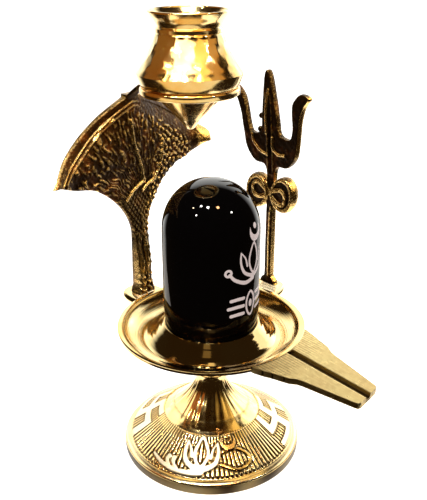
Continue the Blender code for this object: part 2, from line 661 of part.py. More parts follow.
def trident_half(extra):
    """(side, height) of half the trident from the pad up to the middle tip.

    The extra width goes to the upper part of the side prong.
    """
    foot = post_foot()
    pad = TRIDENT_PAD_HALF_WIDTH
    shaft = TRIDENT_SHAFT
    head = TRIDENT_HEAD_HEIGHT
    span = PRONG_HALF_SPAN
    inner = span - PRONG_WIDTH
    tip = SIDE_TIP_HEIGHT
    flare = PRONG_TIP_FLARE
    up = SIDE_PRONG_RISE
    outer_side = [
        (pad, foot),
        (pad, foot + 0.5 * pad),
        (shaft, foot + pad),
        (shaft, head - 4.0 * shaft),
        (1.6 * shaft, head),
        (0.58 * span, head + 0.08 * CROTCH_RISE),
        (0.87 * span, head + 0.44 * CROTCH_RISE),
        (0.97 * span, head + 0.96 * CROTCH_RISE),
        (span + 0.12 * flare, tip - 0.6 * up),
        (span + 0.5 * flare, tip - 0.28 * up),
        (span + flare, tip - 0.08 * up),
        (span + 0.8 * flare, tip),
    ]
    inner_side = [
        (span + 0.38 * flare - 0.6 * extra, tip + 0.1 * extra),
        (inner + 0.42 * flare - extra, tip - 0.2 * up),
        (inner + 0.17 * flare - 0.6 * extra, tip - 0.42 * up),
        (inner, CROTCH_HEIGHT + 0.26 * up),
        (0.91 * inner, CROTCH_HEIGHT + 0.03 * up),
        (0.72 * inner, CROTCH_HEIGHT - 0.02 * up),
    ]
    middle = [
        (1.2 * CENTRE_PRONG, CROTCH_HEIGHT + 0.04 * MIDDLE_PRONG_RISE),
        (CENTRE_PRONG, CROTCH_HEIGHT + 0.27 * MIDDLE_PRONG_RISE),
        (0.78 * CENTRE_PRONG, CROTCH_HEIGHT + 0.55 * MIDDLE_PRONG_RISE),
        (0.42 * CENTRE_PRONG, CROTCH_HEIGHT + 0.88 * MIDDLE_PRONG_RISE),
        (0.2 * CENTRE_PRONG, CROTCH_HEIGHT + 0.98 * MIDDLE_PRONG_RISE),
    ]
    return outer_side + inner_side + middle


def trident_bend(height):
    over = max(0.0, height - TRIDENT_HEAD_HEIGHT) / (TRIDENT_TOP - TRIDENT_HEAD_HEIGHT)
    return -TRIDENT_BEND * over**1.2


def trident_point(side, height, depth):
    """A place on the trident: side along its plane, depth towards the stone."""
    foot = Vector((math.cos(TRIDENT_AZIMUTH), math.sin(TRIDENT_AZIMUTH), 0.0)) * TRIDENT_RADIUS
    across = Vector((math.sin(TRIDENT_TURN), -math.cos(TRIDENT_TURN), 0.0))
    inward = Vector((-math.cos(TRIDENT_TURN), -math.sin(TRIDENT_TURN), 0.0))
    place = foot + across * side + inward * depth
    return (place.x, place.y, height)


def trident_plate(name, outline, thickness, material=None):
    """A flat casting of the outline, its edges a little narrower at the faces."""
    half = 0.5 * thickness
    sections = []
    for depth in (half, -half):
        sections.append([trident_point(side, height, depth) for side, height in outline])
    return object_from(name, lofted(sections), material)


def make_trident(material):
    right = trident_half(RIGHT_PRONG_EXTRA)
    left = trident_half(0.0)
    tip = (trident_bend(TRIDENT_TOP), TRIDENT_TOP)
    outline = [(side + trident_bend(height), height) for side, height in right]
    outline.append(tip)
    outline += [(trident_bend(height) - side, height) for side, height in reversed(left)]
    trident = trident_plate("trident", outline, TRIDENT_THICKNESS, material)
    for name, side in (("drum_left_guide", -1.0), ("drum_right_guide", 1.0)):
        lobe = []
        for step in range(DRUM_SEGMENTS):
            angle = 2.0 * math.pi * (step + 0.5) / DRUM_SEGMENTS
            across = side * DRUM_LOBE_OFFSET + DRUM_LOBE_RADIUS * math.cos(angle)
            up = DRUM_LOBE_HALF_HEIGHT * math.sin(angle) * (1.0 + 0.1 * side * math.cos(angle))
            lobe.append((across, DRUM_HEIGHT + up + 0.06 * across))
        join_to(trident, trident_plate(name, lobe, DRUM_THICKNESS))
    return trident


def build():
    clear_scene()
    make_foot(finish_material("foot_brass", BRASS))
    make_dish(finish_material("dish_brass", BRASS))
    make_stone(finish_material("black_stone", BLACK_STONE))
    make_hood(finish_material("hood_brass", DARK_BRASS))
    make_pot(finish_material("pot_brass", BRASS))
    make_trident(finish_material("trident_brass", DARK_BRASS))


build()
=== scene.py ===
"""Looks of the table-top shiva lingam: fine relief, finishes, light and camera."""
import math

import bmesh
import bpy
import numpy as np
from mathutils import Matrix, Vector


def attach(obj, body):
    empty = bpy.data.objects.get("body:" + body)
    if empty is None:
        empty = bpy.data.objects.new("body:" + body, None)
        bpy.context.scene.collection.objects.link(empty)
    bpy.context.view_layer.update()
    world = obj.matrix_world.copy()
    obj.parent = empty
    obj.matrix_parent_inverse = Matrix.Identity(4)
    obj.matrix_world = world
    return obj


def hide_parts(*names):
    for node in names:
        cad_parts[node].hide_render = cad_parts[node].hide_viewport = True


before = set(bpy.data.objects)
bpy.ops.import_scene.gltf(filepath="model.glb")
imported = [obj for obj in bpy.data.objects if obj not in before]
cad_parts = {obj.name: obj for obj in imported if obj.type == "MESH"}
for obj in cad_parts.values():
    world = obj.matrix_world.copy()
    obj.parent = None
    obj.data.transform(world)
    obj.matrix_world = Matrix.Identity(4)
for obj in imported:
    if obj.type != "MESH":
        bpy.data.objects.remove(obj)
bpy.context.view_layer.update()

MM = 0.001

# Sizes in millimetres, as in the solids that the pieces stand for
GAP = 0.3
FOOT_RADIUS = 31.3
FOOT_EDGE_HEIGHT = 4.4
FOOT_EDGE_WIDTH = 2.2
EDGE_DROP = 1.2
BELL_FOOT_RADIUS = 16.7
BELL_FOOT_HEIGHT = 13.2
NECK_RADIUS = 4.9
NECK_HEIGHT = 28.0
BELL_CURVE = 1.8
FLUTES = 110
FLUTE_DEPTH = 0.45
DISH_RADIUS = 32.0
LIP_HEIGHT = 48.1
LIP_WIDTH = 2.3
LIP_THICKNESS = 1.7
LIP_ROUND = 0.45
SOCKET_DEPTH = 2.6
LUG_HALF_WIDTH = 7.2
BOWL_DEPTH = 4.7
BOWL_LOW_RADIUS = 23.4
DISH_WALL = 2.0
STONE_RADIUS = 16.1
STONE_BASE_RADIUS = 15.2
STONE_TOP = 98.9
STONE_DOME = 17.0
STONE_DOME_CURVE = 2.1
STRIPE_LEVEL = 60.4
SERPENT_PLANE = 34.5
SERPENT_X = 2.6
HOOD_X = 1.2
HOOD_HALF_WIDTH = 38.6
HOOD_TIP_HEIGHT = 98.2
HOOD_FAN_RISE = 23.2
HOOD_TOP = HOOD_TIP_HEIGHT + HOOD_FAN_RISE
NECK_TOP = 72.0
NECK_HALF_WIDTH = 3.3
SPOUT_FALL = 0.172
ENGRAVED_PITCH = 1.1
ENGRAVED_END = 36.5
POT = (0.6, 8.8)
POT_TOP = 149.5
POT_MOUTH_RADIUS = 12.45
POT_NECK_RADIUS = 9.9
POT_RADIUS = 16.5
POT_NECK_LEVEL = POT_TOP - 5.0
POT_BODY_TOP = POT_NECK_LEVEL - 1.4
POT_EDGE_LEVEL = POT_BODY_TOP - 11.9
POT_SEAT_LEVEL = POT_EDGE_LEVEL - 4.0
POT_SEAT_RADIUS = 15.1
DENTS_ROUND = 20
DENT_HEIGHT = 3.0
DENT_DEPTH = 0.11
RING_OUTER = 15.6
RING_BAND = 2.1
RING_HEIGHT = 2.3
RING_TOP = POT_SEAT_LEVEL - GAP
TRIDENT_RADIUS = 37.0
TRIDENT_AZIMUTH = math.radians(2.3)
TRIDENT_TURN = math.radians(-7.7)
TRIDENT_HEAD = 94.0
TRIDENT_TOP = 127.6
DRUM_HEIGHT = 84.4
DRUM_LOBE = 5.8
DRUM_TILT = 0.06


# Small tools for numbers and curves

def smooth_step(value, low, high):
    share = np.clip((value - low) / (high - low), 0.0, 1.0)
    return share * share * (3.0 - 2.0 * share)


def curve(points, count=40, closed=False):
    """A smooth line through the points, taken at equal steps of its parameter."""
    points = np.array(points, float)
    total = len(points) if closed else len(points) - 1
    result = []
    for place in np.linspace(0.0, total, count, endpoint=not closed):
        index = min(int(place), total - 1)
        share = place - index
        if closed:
            p = [points[(index + k) % len(points)] for k in (-1, 0, 1, 2)]
        else:
            p = [points[min(max(index + k, 0), total)] for k in (-1, 0, 1, 2)]
        tangent_in, tangent_out = 0.5 * (p[2] - p[0]), 0.5 * (p[3] - p[1])
        s2, s3 = share**2, share**3
        value = (2 * s3 - 3 * s2 + 1) * p[1] + (s3 - 2 * s2 + share) * tangent_in
        value += (3 * s2 - 2 * s3) * p[2] + (s3 - s2) * tangent_out
        result.append(value)
    if closed:
        result.append(result[0])
    return np.array(result)


def stroke(x, y, line, width_start, width_end=None):
    """Signed distance to a stroke along a line of points: below zero inside it."""
    width_end = width_start if width_end is None else width_end
    best = np.full(np.shape(x), 1e3)
    last = len(line) - 1
    for index in range(last):
        (ax, ay), (bx, by) = line[index], line[index + 1]
        dx, dy = bx - ax, by - ay
        share = np.clip(((x - ax) * dx + (y - ay) * dy) / (dx * dx + dy * dy + 1e-12), 0.0, 1.0)
        width = width_start + (width_end - width_start) * (index + share) / last
        distance = np.hypot(x - ax - share * dx, y - ay - share * dy) - 0.5 * width
        best = np.minimum(best, distance)
    return best


def line_at(value, middle, width):
    """One where the value is at the middle of a line, fading to zero beside it."""
    return np.exp(-(((value - middle) / width) ** 2))


def ridges(x, y, lines, width, fade):
    """One on strokes along the lines, each a count and its points, fading to zero beside them."""
    best = np.zeros(np.shape(x))
    for count, points in lines:
        distance = stroke(x, y, curve(points, count), width)
        best = np.maximum(best, 1.0 - smooth_step(distance, 0.0, fade))
    return best


def arc(middle, size, start, end, count):
    """Points on an ellipse's arc, whose ends are given in half turns."""
    angles = np.linspace(start * math.pi, end * math.pi, count)
    return [(middle[0] + size[0] * math.cos(a), middle[1] + size[1] * math.sin(a)) for a in angles]


def full_corner(angle, power):
    """Cosine and sine of the angle, pushed out towards the corners of a square."""
    return [math.copysign(abs(v) ** power, v) for v in (math.cos(angle), math.sin(angle))]


def mottled(x, y, size):
    """A smooth uneven field between -1 and 1 with features of about this size."""
    u, v = x / size, y / size
    field = np.sin(2.1 * u + 1.7 * np.sin(1.3 * v + 0.4)) + np.sin(1.9 * v - 1.4 * np.sin(1.7 * u))
    field = field + np.sin(1.3 * u + 1.6 * v + 1.1 * np.sin(0.9 * u - 1.2 * v))
    return field / 3.0


# Small tools for meshes

def new_object(name, data):
    """An object with this data, linked to the scene."""
    obj = bpy.data.objects.new(name, data)
    bpy.context.scene.collection.objects.link(obj)
    return obj


def finish_object(name, mesh, material, node, sharp=35.0):
    """Puts a mesh in the scene as the piece that stands for a node of the solids."""
    mesh.shade_smooth()
    mesh.set_sharp_from_angle(angle=math.radians(sharp))
    obj = new_object(name, mesh)
    mesh.materials.append(material)
    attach(obj, "root")
    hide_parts(node)
    return obj


def grid_mesh(name, points, wrap_rows=False, low_pole=None, high_pole=None, fields=None):
    """A closed mesh from (rows, columns, 3) points in millimetres, wrapped round its columns.

    The first and last rows end in a pole, in a flat cap, or in each other. The fields are
    (rows, columns) numbers that the materials read.
    """
    rows, columns = points.shape[:2]
    corners = np.arange(rows * columns).reshape(rows, columns)
    following = np.roll(corners, -1, axis=1)
    faces = np.stack([corners[:-1], following[:-1], following[1:], corners[1:]], -1).reshape(-1, 4).tolist()
    vertices = points.reshape(-1, 3).tolist()
    ends = [(low_pole, 0), (high_pole, rows - 1)]
    if wrap_rows:
        faces += np.stack([corners[-1], following[-1], following[0], corners[0]], -1).tolist()
        ends = []
    for pole, row in ends:
        if pole is None:
            faces.append(corners[row].tolist())
        else:
            tip = len(vertices)
            vertices.append(list(pole))
            faces += [[a, b, tip] for a, b in zip(corners[row].tolist(), following[row].tolist())]
    mesh = bpy.data.meshes.new(name)
    mesh.from_pydata((np.array(vertices) * MM).tolist(), [], faces)
    bm = bmesh.new()
    bm.from_mesh(mesh)
    bmesh.ops.recalc_face_normals(bm, faces=bm.faces)
    if bm.calc_volume(signed=True) < 0:
        bmesh.ops.reverse_faces(bm, faces=bm.faces)
    bm.to_mesh(mesh)
    bm.free()
    for field, values in (fields or {}).items():
        data = np.zeros(len(vertices), np.float32)
        data[: rows * columns] = np.asarray(values, np.float32).reshape(-1)
        mesh.attributes.new(field, "FLOAT", "POINT").data.foreach_set("value", data)
    return mesh


def turned_points(outline, azimuths, centre=(0.0, 0.0)):
    """(rows, columns, 3) points of an outline of (radius, height) turned about an axis."""
    outline = np.array(outline, float)
    radius, height = outline[:, :1], outline[:, 1:]
    x = centre[0] + radius * np.cos(azimuths)
    y = centre[1] + radius * np.sin(azimuths)
    return np.stack([x, y, height + 0.0 * azimuths], -1)


def finer(outline, step):
    """The outline with its straight stretches cut into pieces of about one step."""
    result = [outline[0]]
    for before, after in zip(outline, outline[1:]):
        count = max(1, round(math.dist(before, after) / step))
        for k in range(1, count + 1):
            result.append(tuple(a + (b - a) * k / count for a, b in zip(before, after)))
    return result


def turned_mesh(name, outline, columns, centre=(0.0, 0.0), wrap_rows=False):
    azimuths = np.linspace(0.0, 2.0 * math.pi, columns, endpoint=False)
    if wrap_rows:
        return grid_mesh(name, turned_points(outline, azimuths, centre), wrap_rows=True)
    first, last = outline[0], outline[-1]
    points = turned_points(outline[1:-1], azimuths, centre)
    return grid_mesh(name, points, low_pole=(*centre, first[1]), high_pole=(*centre, last[1]))


# Materials

def add(tree, kind, settings=None, **inputs):
    """A node with its settings and inputs, where an input may come from another node."""
    node = tree.nodes.new("ShaderNode" + kind)
    for key, value in (settings or {}).items():
        setattr(node, key, value)
    for key, value in inputs.items():
        socket = node.inputs[int(key[1:])] if key[1:].isdigit() else node.inputs[key.replace("_", " ")]
        if isinstance(value, bpy.types.NodeSocket):
            tree.links.new(value, socket)
        else:
            socket.default_value = value
    return node


def new_material(name):
    material = bpy.data.materials.new(name)
    material.use_nodes = True
    tree = material.node_tree
    return material, tree, tree.nodes["Principled BSDF"]


def blend_colours(tree, share, low, high):
    mix = add(tree, "Mix", {"data_type": "RGBA"}, i0=share, i6=low, i7=high)
    return mix.outputs[2]


def rescale(tree, value, low, high, to_low=0.0, to_high=1.0):
    ends = {"From_Min": low, "From_Max": high, "To_Min": to_low, "To_Max": to_high}
    return add(tree, "MapRange", Value=value, **ends).outputs[0]


def calculate(tree, operation, *values):
    inputs = {f"i{index}": value for index, value in enumerate(values)}
    return add(tree, "Math", {"operation": operation}, **inputs).outputs[0]


def noise(tree, place, scale, detail, roughness=0.5):
    return add(tree, "TexNoise", Vector=place, Scale=scale, Detail=detail, Roughness=roughness).outputs[0]


def field_value(tree, name):
    return add(tree, "Attribute", {"attribute_name": name}).outputs["Fac"]


def join_finish(tree, shader, colour, rough, height, strength, depth=0.0003):
    """Joins a colour, a roughness and a bump of this strength and depth to the shader."""
    bump = add(tree, "Bump", Strength=strength, Distance=depth, Height=height)
    tree.links.new(colour, shader.inputs["Base Color"])
    tree.links.new(rough, shader.inputs["Roughness"])
    tree.links.new(bump.outputs[0], shader.inputs["Normal"])


def lathe_lines(tree, place, axis):
    """A fine uneven field of rings round an upright axis."""
    centre = (axis[0] * MM, axis[1] * MM, 0.0)
    moved = add(tree, "VectorMath", {"operation": "SUBTRACT"}, i0=place, i1=centre)
    parts = add(tree, "SeparateXYZ", Vector=moved.outputs[0])
    level = add(tree, "CombineXYZ", X=parts.outputs[0], Y=parts.outputs[1]).outputs[0]
    radius = add(tree, "VectorMath", {"operation": "LENGTH"}, i0=level).outputs["Value"]
    along = calculate(tree, "MULTIPLY_ADD", parts.outputs[2], 0.8, radius)
    grain = add(tree, "TexNoise", {"noise_dimensions": "1D"}, W=along, Scale=2600.0, Detail=2.0)
    return grain.outputs[0]


def brass_material(name, bright, deep, roughness, axis=(0.0, 0.0), lines=0.03, painted_shading=False, brushed=False):
    """Polished brass with lathe lines round an axis, or brushed along the spout.

    With painted shading it reads the groove field: painted shade in dark brown above zero, and below zero a
    pale smooth plate, which on the foot's rounded edge is a painted highlight.
    """
    material, tree, shader = new_material(name)
    place = add(tree, "TexCoord").outputs["Object"]
    colour = blend_colours(tree, rescale(tree, noise(tree, place, 90.0, 3.0), 0.35, 0.7), bright, deep)
    fine = noise(tree, place, 900.0, 4.0)
    rough = rescale(tree, fine, 0.3, 0.7, roughness * 0.7, roughness * 1.4)
    if painted_shading:
        # The groove field: painted shade above zero, paler plates and painted highlights below it.
        depth = field_value(tree, "groove")
        colour = blend_colours(tree, depth, colour, SHADE_BROWN)
        colour = blend_colours(tree, rescale(tree, depth, 0.0, -1.0), colour, PLATE_PALE)
        rough = calculate(tree, "MULTIPLY_ADD", calculate(tree, "ABSOLUTE", depth), 0.3, rough)
    if brushed:
        stretched = add(tree, "Mapping", Vector=place, Scale=BRUSH_GRAIN).outputs[0]
        grain = noise(tree, stretched, 1.0, 3.0)
        # The spout's channel darkened with painted shade, and its engraved lines.
        colour = blend_colours(tree, spout_marks(tree, place, grain), colour, CHANNEL_BROWN)
    else:
        grain = lathe_lines(tree, place, axis)
    join_finish(tree, shader, colour, rough, grain, lines)
    shader.inputs["Metallic"].default_value = 1.0
    return material


def spout_marks(tree, place, grain):
    """How dark the spout's channel, with painted shade, and the short lines engraved near its root are."""
    parts = add(tree, "SeparateXYZ", Vector=place)
    side = calculate(tree, "ABSOLUTE", parts.outputs[0])
    # Painted shade in the channel.
    channel = rescale(tree, side, 1.0 * MM, 1.5 * MM, 0.8, 0.0)
    lines = calculate(tree, "FRACT", calculate(tree, "MULTIPLY", side, 1.0 / (ENGRAVED_PITCH * MM)))
    thin = rescale(tree, lines, 0.14, 0.22, 0.75, 0.0)
    reach = calculate(tree, "MULTIPLY_ADD", grain, 5.0 * MM, parts.outputs[1])
    near = rescale(tree, reach, -ENGRAVED_END * MM, (2.0 - ENGRAVED_END) * MM)
    return calculate(tree, "MAXIMUM", channel, calculate(tree, "MULTIPLY", thin, near))


def cast_material(name, dark, bright_threshold):
    """Cast brass, dark in its recesses, and bright where the brightness field passes the threshold: rubbed
    bright where the carving stands proud, with painted highlights where the field adds them.
    """
    material, tree, shader = new_material(name)
    place = add(tree, "TexCoord").outputs["Object"]
    grain = noise(tree, place, 1500.0, 5.0, 0.65)
    patch = noise(tree, place, 160.0, 3.0)
    uneven = calculate(tree, "MULTIPLY_ADD", patch, 0.5, field_value(tree, "rub_and_highlight"))
    speck = calculate(tree, "MULTIPLY_ADD", grain, 1.1, uneven)
    share = rescale(tree, speck, bright_threshold, bright_threshold + 0.5)
    colour = blend_colours(tree, share, dark, CAST_BRIGHT)
    colour = blend_colours(tree, rescale(tree, patch, 0.52, 0.75, 0.0, 0.4), colour, CAST_RED)
    join_finish(tree, shader, colour, rescale(tree, share, 0.0, 1.0, 0.4, 0.2), grain, 0.5)
    shader.inputs["Metallic"].default_value = 1.0
    return material


def stone_material():
    """Black polished stone with marks painted where the paint field is below zero; the marks also glow a
    little, as painted light.
    """
    material, tree, shader = new_material("black_stone_polished")
    place = add(tree, "TexCoord").outputs["Object"]
    fleck = noise(tree, place, 700.0, 4.0)
    ragged = calculate(tree, "MULTIPLY_ADD", fleck, 0.16, field_value(tree, "paint"))
    cover = rescale(tree, ragged, 0.02, 0.14, 1.0, 0.0)
    colour = blend_colours(tree, cover, blend_colours(tree, fleck, STONE_BLACK, STONE_FLECK), PAINT_WHITE)
    rough = rescale(tree, cover, 0.0, 1.0, 0.035, 0.4)
    join_finish(tree, shader, colour, rough, noise(tree, place, 120.0, 1.0), 0.06, depth=0.0006)
    # Painted light: the marks glow a little to stay white.
    glow = blend_colours(tree, cover, (0.0, 0.0, 0.0, 1.0), PAINT_GLOW)
    tree.links.new(glow, shader.inputs["Emission Color"])
    shader.inputs["Emission Strength"].default_value = 0.4
    shader.inputs["IOR"].default_value = 1.54
    return material


PALE_BRASS = (0.93, 0.73, 0.36, 1.0)
WARM_BRASS = (0.88, 0.58, 0.20, 1.0)
DEEP_BRASS = (0.90, 0.52, 0.13, 1.0)
SPOUT_BRASS = (0.80, 0.62, 0.26, 1.0)
SPOUT_DEEP = (0.70, 0.50, 0.20, 1.0)
PLATE_PALE = (0.98, 0.88, 0.66, 1.0)
SHADE_BROWN = (0.025, 0.014, 0.004, 1.0)
CHANNEL_BROWN = (0.16, 0.095, 0.03, 1.0)
CAST_BRIGHT = (0.98, 0.64, 0.22, 1.0)
CAST_RED = (0.36, 0.10, 0.02, 1.0)
HOOD_DARK = (0.05, 0.023, 0.006, 1.0)
TRIDENT_DARK = (0.035, 0.017, 0.005, 1.0)
STONE_BLACK = (0.0006, 0.0006, 0.001, 1.0)
STONE_FLECK = (0.002, 0.002, 0.003, 1.0)
PAINT_WHITE = (0.86, 0.84, 0.84, 1.0)
# The painted marks' glow is painted light.
PAINT_GLOW = (0.9, 0.74, 0.74, 1.0)
BRUSH_GRAIN = (2400.0, 60.0, 60.0)

foot_finish = brass_material("foot_brass_polished", PALE_BRASS, WARM_BRASS, 0.13, painted_shading=True)
dish_finish = brass_material("dish_brass_polished", PALE_BRASS, WARM_BRASS, 0.08, lines=0.16)
spout_finish = brass_material("spout_brass_brushed", SPOUT_BRASS, SPOUT_DEEP, 0.36, lines=0.12, brushed=True)
pot_finish = brass_material("pot_brass_polished", PALE_BRASS, DEEP_BRASS, 0.14, axis=POT, lines=0.02)
hood_finish = cast_material("hood_brass_cast", HOOD_DARK, 0.95)
trident_finish = cast_material("trident_brass_cast", TRIDENT_DARK, 1.08)
stone_finish = stone_material()


# Foot: turned, with a fluted skirt that carries four raised ornaments

SKIRT_SLOPE = 1.24
SKIRT_MIDDLE = 23.0
SCROLL_AZIMUTH = -150.0
CROSS_AZIMUTH = -53.0
SLOT_SHADE = 0.35
EDGE_INNER = FOOT_RADIUS - FOOT_EDGE_WIDTH


def skirt_place(azimuth, radius, centre):
    """Millimetres along the skirt and down its slope from the middle of an ornament."""
    turn = np.mod(azimuth - math.radians(centre) + math.pi, 2.0 * math.pi) - math.pi
    return turn * SKIRT_MIDDLE, (radius - SKIRT_MIDDLE) * SKIRT_SLOPE


def lotus(x, y, bold):
    """A lotus bud between two curved petals, drawn with strokes: signed distance."""
    bud = [(0.0, -6.4), (2.0, -2.8), (2.1, 0.6), (0.0, 3.8), (-2.1, 0.6), (-2.0, -2.8)]
    petal = curve([(5.9, -4.4), (5.9, -0.8), (4.2, 2.8), (0.0, 5.0)], 20)
    inner = curve([(5.9, -4.4), (4.1, -2.2), (3.2, 0.6)], 10)
    side = np.abs(x)
    best = stroke(x, y, curve(bud, 36, closed=True), 0.6 * bold)
    best = np.minimum(best, stroke(side, y, petal, 0.4 * bold, 1.05 * bold))
    return np.minimum(best, stroke(side, y, inner, 0.3 * bold, 0.6 * bold))


def scroll(x, y):
    """A lotus on a long tail that sweeps in from the side with two buds: signed distance."""
    tail = curve([(-15.6, 4.2), (-11.0, 5.7), (-5.2, 6.4), (0.0, 5.4)], 30)
    best = np.minimum(stroke(x, y, tail, 0.9, 2.6), lotus(x, y, 2.1))
    for start, end in (((-9.0, 5.4), (-10.4, 2.6)), ((-6.4, 5.8), (-8.6, 2.4))):
        middle = (0.5 * (start[0] + end[0]) - 0.9, 0.5 * (start[1] + end[1]))
        best = np.minimum(best, stroke(x, y, curve([start, middle, end], 8), 0.7, 1.6))
    return best


def crescent(x, y):
    """A crescent open upwards with a dot over it."""
    moon = np.maximum(np.hypot(x, y) - 3.3, 2.7 - np.hypot(x, y + 1.5))
    return np.minimum(moon, np.hypot(x, y + 1.7) - 0.95)


def leaf_outline(x, y):
    """A leaf drawn as one outline, its stalk joined to the scroll."""
    marks = [(2.8, 2.0), (7.1, -1.2), (12.0, -2.0), (15.7, 1.2), (15.0, 4.2), (11.2, 5.4), (6.6, 3.2)]
    return stroke(x, y, curve(marks, 56, closed=True), 1.1)


def hooked_cross(x, y):
    """A plate with four slots, each open to one side, that leave a hooked cross: cross, plate."""
    half_x, half_y = 10.0, 7.3
    plate = np.maximum(np.abs(x) - half_x, np.abs(y) - half_y)
    p, q = x / half_x, y / half_y
    slots = np.full(np.shape(x), 1e3)
    for quarter in range(4):
        size_p, size_q = (half_x, half_y) if quarter % 2 == 0 else (half_y, half_x)
        across = (np.abs(p + 0.43) - 0.25) * size_p
        along = np.maximum(-1.2 - q, q + 0.2) * size_q
        slots = np.minimum(slots, np.maximum(across, along))
        p, q = -q, p
    return np.maximum(plate, -slots), plate


def foot_outline():
    """(radius, height) from the neck down the bell, out over the skirt and round the edge."""
    outline = [(1.5, NECK_HEIGHT)]
    for share in np.linspace(0.0, 1.0, 42)[:-1]:
        radius = NECK_RADIUS + (BELL_FOOT_RADIUS - NECK_RADIUS) * share**BELL_CURVE
        outline.append((radius, BELL_FOOT_HEIGHT + (NECK_HEIGHT - BELL_FOOT_HEIGHT) * (1.0 - share)))
    for share in np.linspace(0.0, 1.0, 58):
        radius = BELL_FOOT_RADIUS + (EDGE_INNER - BELL_FOOT_RADIUS) * share
        outline.append((radius, BELL_FOOT_HEIGHT - (BELL_FOOT_HEIGHT - FOOT_EDGE_HEIGHT) * share))
    middle = (EDGE_INNER, FOOT_EDGE_HEIGHT - EDGE_DROP)
    outline += arc(middle, (FOOT_EDGE_WIDTH, EDGE_DROP), 0.5, 0.0, 8)[1:]
    return np.array(outline + [(FOOT_RADIUS, 0.5), (FOOT_RADIUS - 0.15, 0.15), (FOOT_RADIUS - 0.5, 0.0)])


def skirt_relief(radius, angle):
    """Height of the flutes and ornaments, and their painted shade: how dark they are in the hollows, slots
    and outlines or, below zero, how pale on the crests and plates.
    """
    on_skirt = smooth_step(radius, BELL_FOOT_RADIUS + 0.1, BELL_FOOT_RADIUS + 0.6)
    on_skirt = on_skirt * (1.0 - smooth_step(radius, EDGE_INNER - 0.7, EDGE_INNER - 0.1))
    ridge = smooth_step(np.cos(FLUTES * angle), -0.6, 0.1)
    relief = FLUTE_DEPTH * ridge
    # Painted shade in the flute hollows, a little paler on the crests.
    groove = 1.0 - smooth_step(ridge, 0.3, 0.9) - 0.15 * smooth_step(ridge, 0.9, 1.0)
    for centre in (SCROLL_AZIMUTH, SCROLL_AZIMUTH + 180.0):
        x, y = skirt_place(angle, radius, centre)
        moon = crescent(x - 10.0, y + 4.7)
        for distance, pale in ((leaf_outline(x, y), 0.0), (scroll(x, y), 1.0), (moon, 0.2)):
            relief, groove = lay_plate(relief, groove, distance, pale)
    for centre in (CROSS_AZIMUTH, CROSS_AZIMUTH + 170.0):
        cross, plate = hooked_cross(*skirt_place(angle, radius, centre))
        relief, groove = lay_plate(relief, groove, cross, 0.6)
        # Painted shade in the slots of the hooked cross.
        slot = smooth_step(cross, 0.0, 0.3) * (1.0 - smooth_step(plate, -0.3, 0.1))
        groove = np.minimum(1.0, groove + SLOT_SHADE * slot)
    return relief * on_skirt, groove * on_skirt


def make_foot():
    azimuths = np.linspace(0.0, 2.0 * math.pi, FLUTES * 8, endpoint=False)
    outline = foot_outline()
    points = turned_points(outline, azimuths)
    radius = outline[:, :1] + 0.0 * azimuths
    level = outline[:, 1:] + 0.0 * azimuths
    angle = azimuths + 0.0 * radius
    relief, groove = skirt_relief(radius, angle)
    points[..., 2] += relief
    on_bell = smooth_step(level, BELL_FOOT_HEIGHT + 0.8, BELL_FOOT_HEIGHT + 2.2)
    on_bell = on_bell * (1.0 - smooth_step(level, 24.0, 27.0))
    wave = np.sin(13.0 * angle + 1.5 * np.sin(5.0 * angle))
    wave = wave + 0.7 * np.sin(29.0 * angle + 2.0 * np.sin(3.0 * angle + 0.2 * level))
    ring = line_at(level, BELL_FOOT_HEIGHT + 2.4, 0.18) * (radius < BELL_FOOT_RADIUS)
    push = 0.08 * wave * on_bell - 0.1 * ring
    points[..., :2] *= (1.0 + push / np.maximum(radius, 1.0))[..., None]
    # Painted shade on the edge's side band, uneven round it, and a painted highlight on its rounded edge.
    band = smooth_step(radius, FOOT_RADIUS - 0.3, FOOT_RADIUS - 0.05) * (1.0 - smooth_step(level, 3.25, 3.6))
    band = band * (0.93 + 0.07 * np.sin(7.0 * angle + 2.0 * np.sin(3.0 * angle)))
    rounded = smooth_step(radius, EDGE_INNER - 0.2, EDGE_INNER + 0.2) * smooth_step(level, 3.2, 3.6)
    poles = {"low_pole": (0.0, 0.0, NECK_HEIGHT), "high_pole": (0.0, 0.0, 0.0)}
    # The groove field holds the painted shade of the flutes, the ring and the band, and the painted highlight
    # of the rounded edge.
    fields = {"groove": groove + 0.7 * ring + band - 0.3 * rounded}
    mesh = grid_mesh("foot_turned", points, fields=fields, **poles)
    return finish_object("foot_turned", mesh, foot_finish, "base_foot", sharp=60.0)


def lay_plate(relief, groove, distance, pale):
    """Lays a smooth flat shape over the flutes with a thin dark line of painted shade round it."""
    inside = 1.0 - smooth_step(distance, -0.12, 0.12)
    line = line_at(distance, 0.2, 0.16)
    relief = relief * (1.0 - inside) + (FLUTE_DEPTH + 0.12) * inside
    relief = relief - 0.3 * line * (1.0 - inside)
    return relief, np.clip((groove + line) * (1.0 - inside) - pale * inside, -1.0, 1.0)


# Dish with its spout and lugs

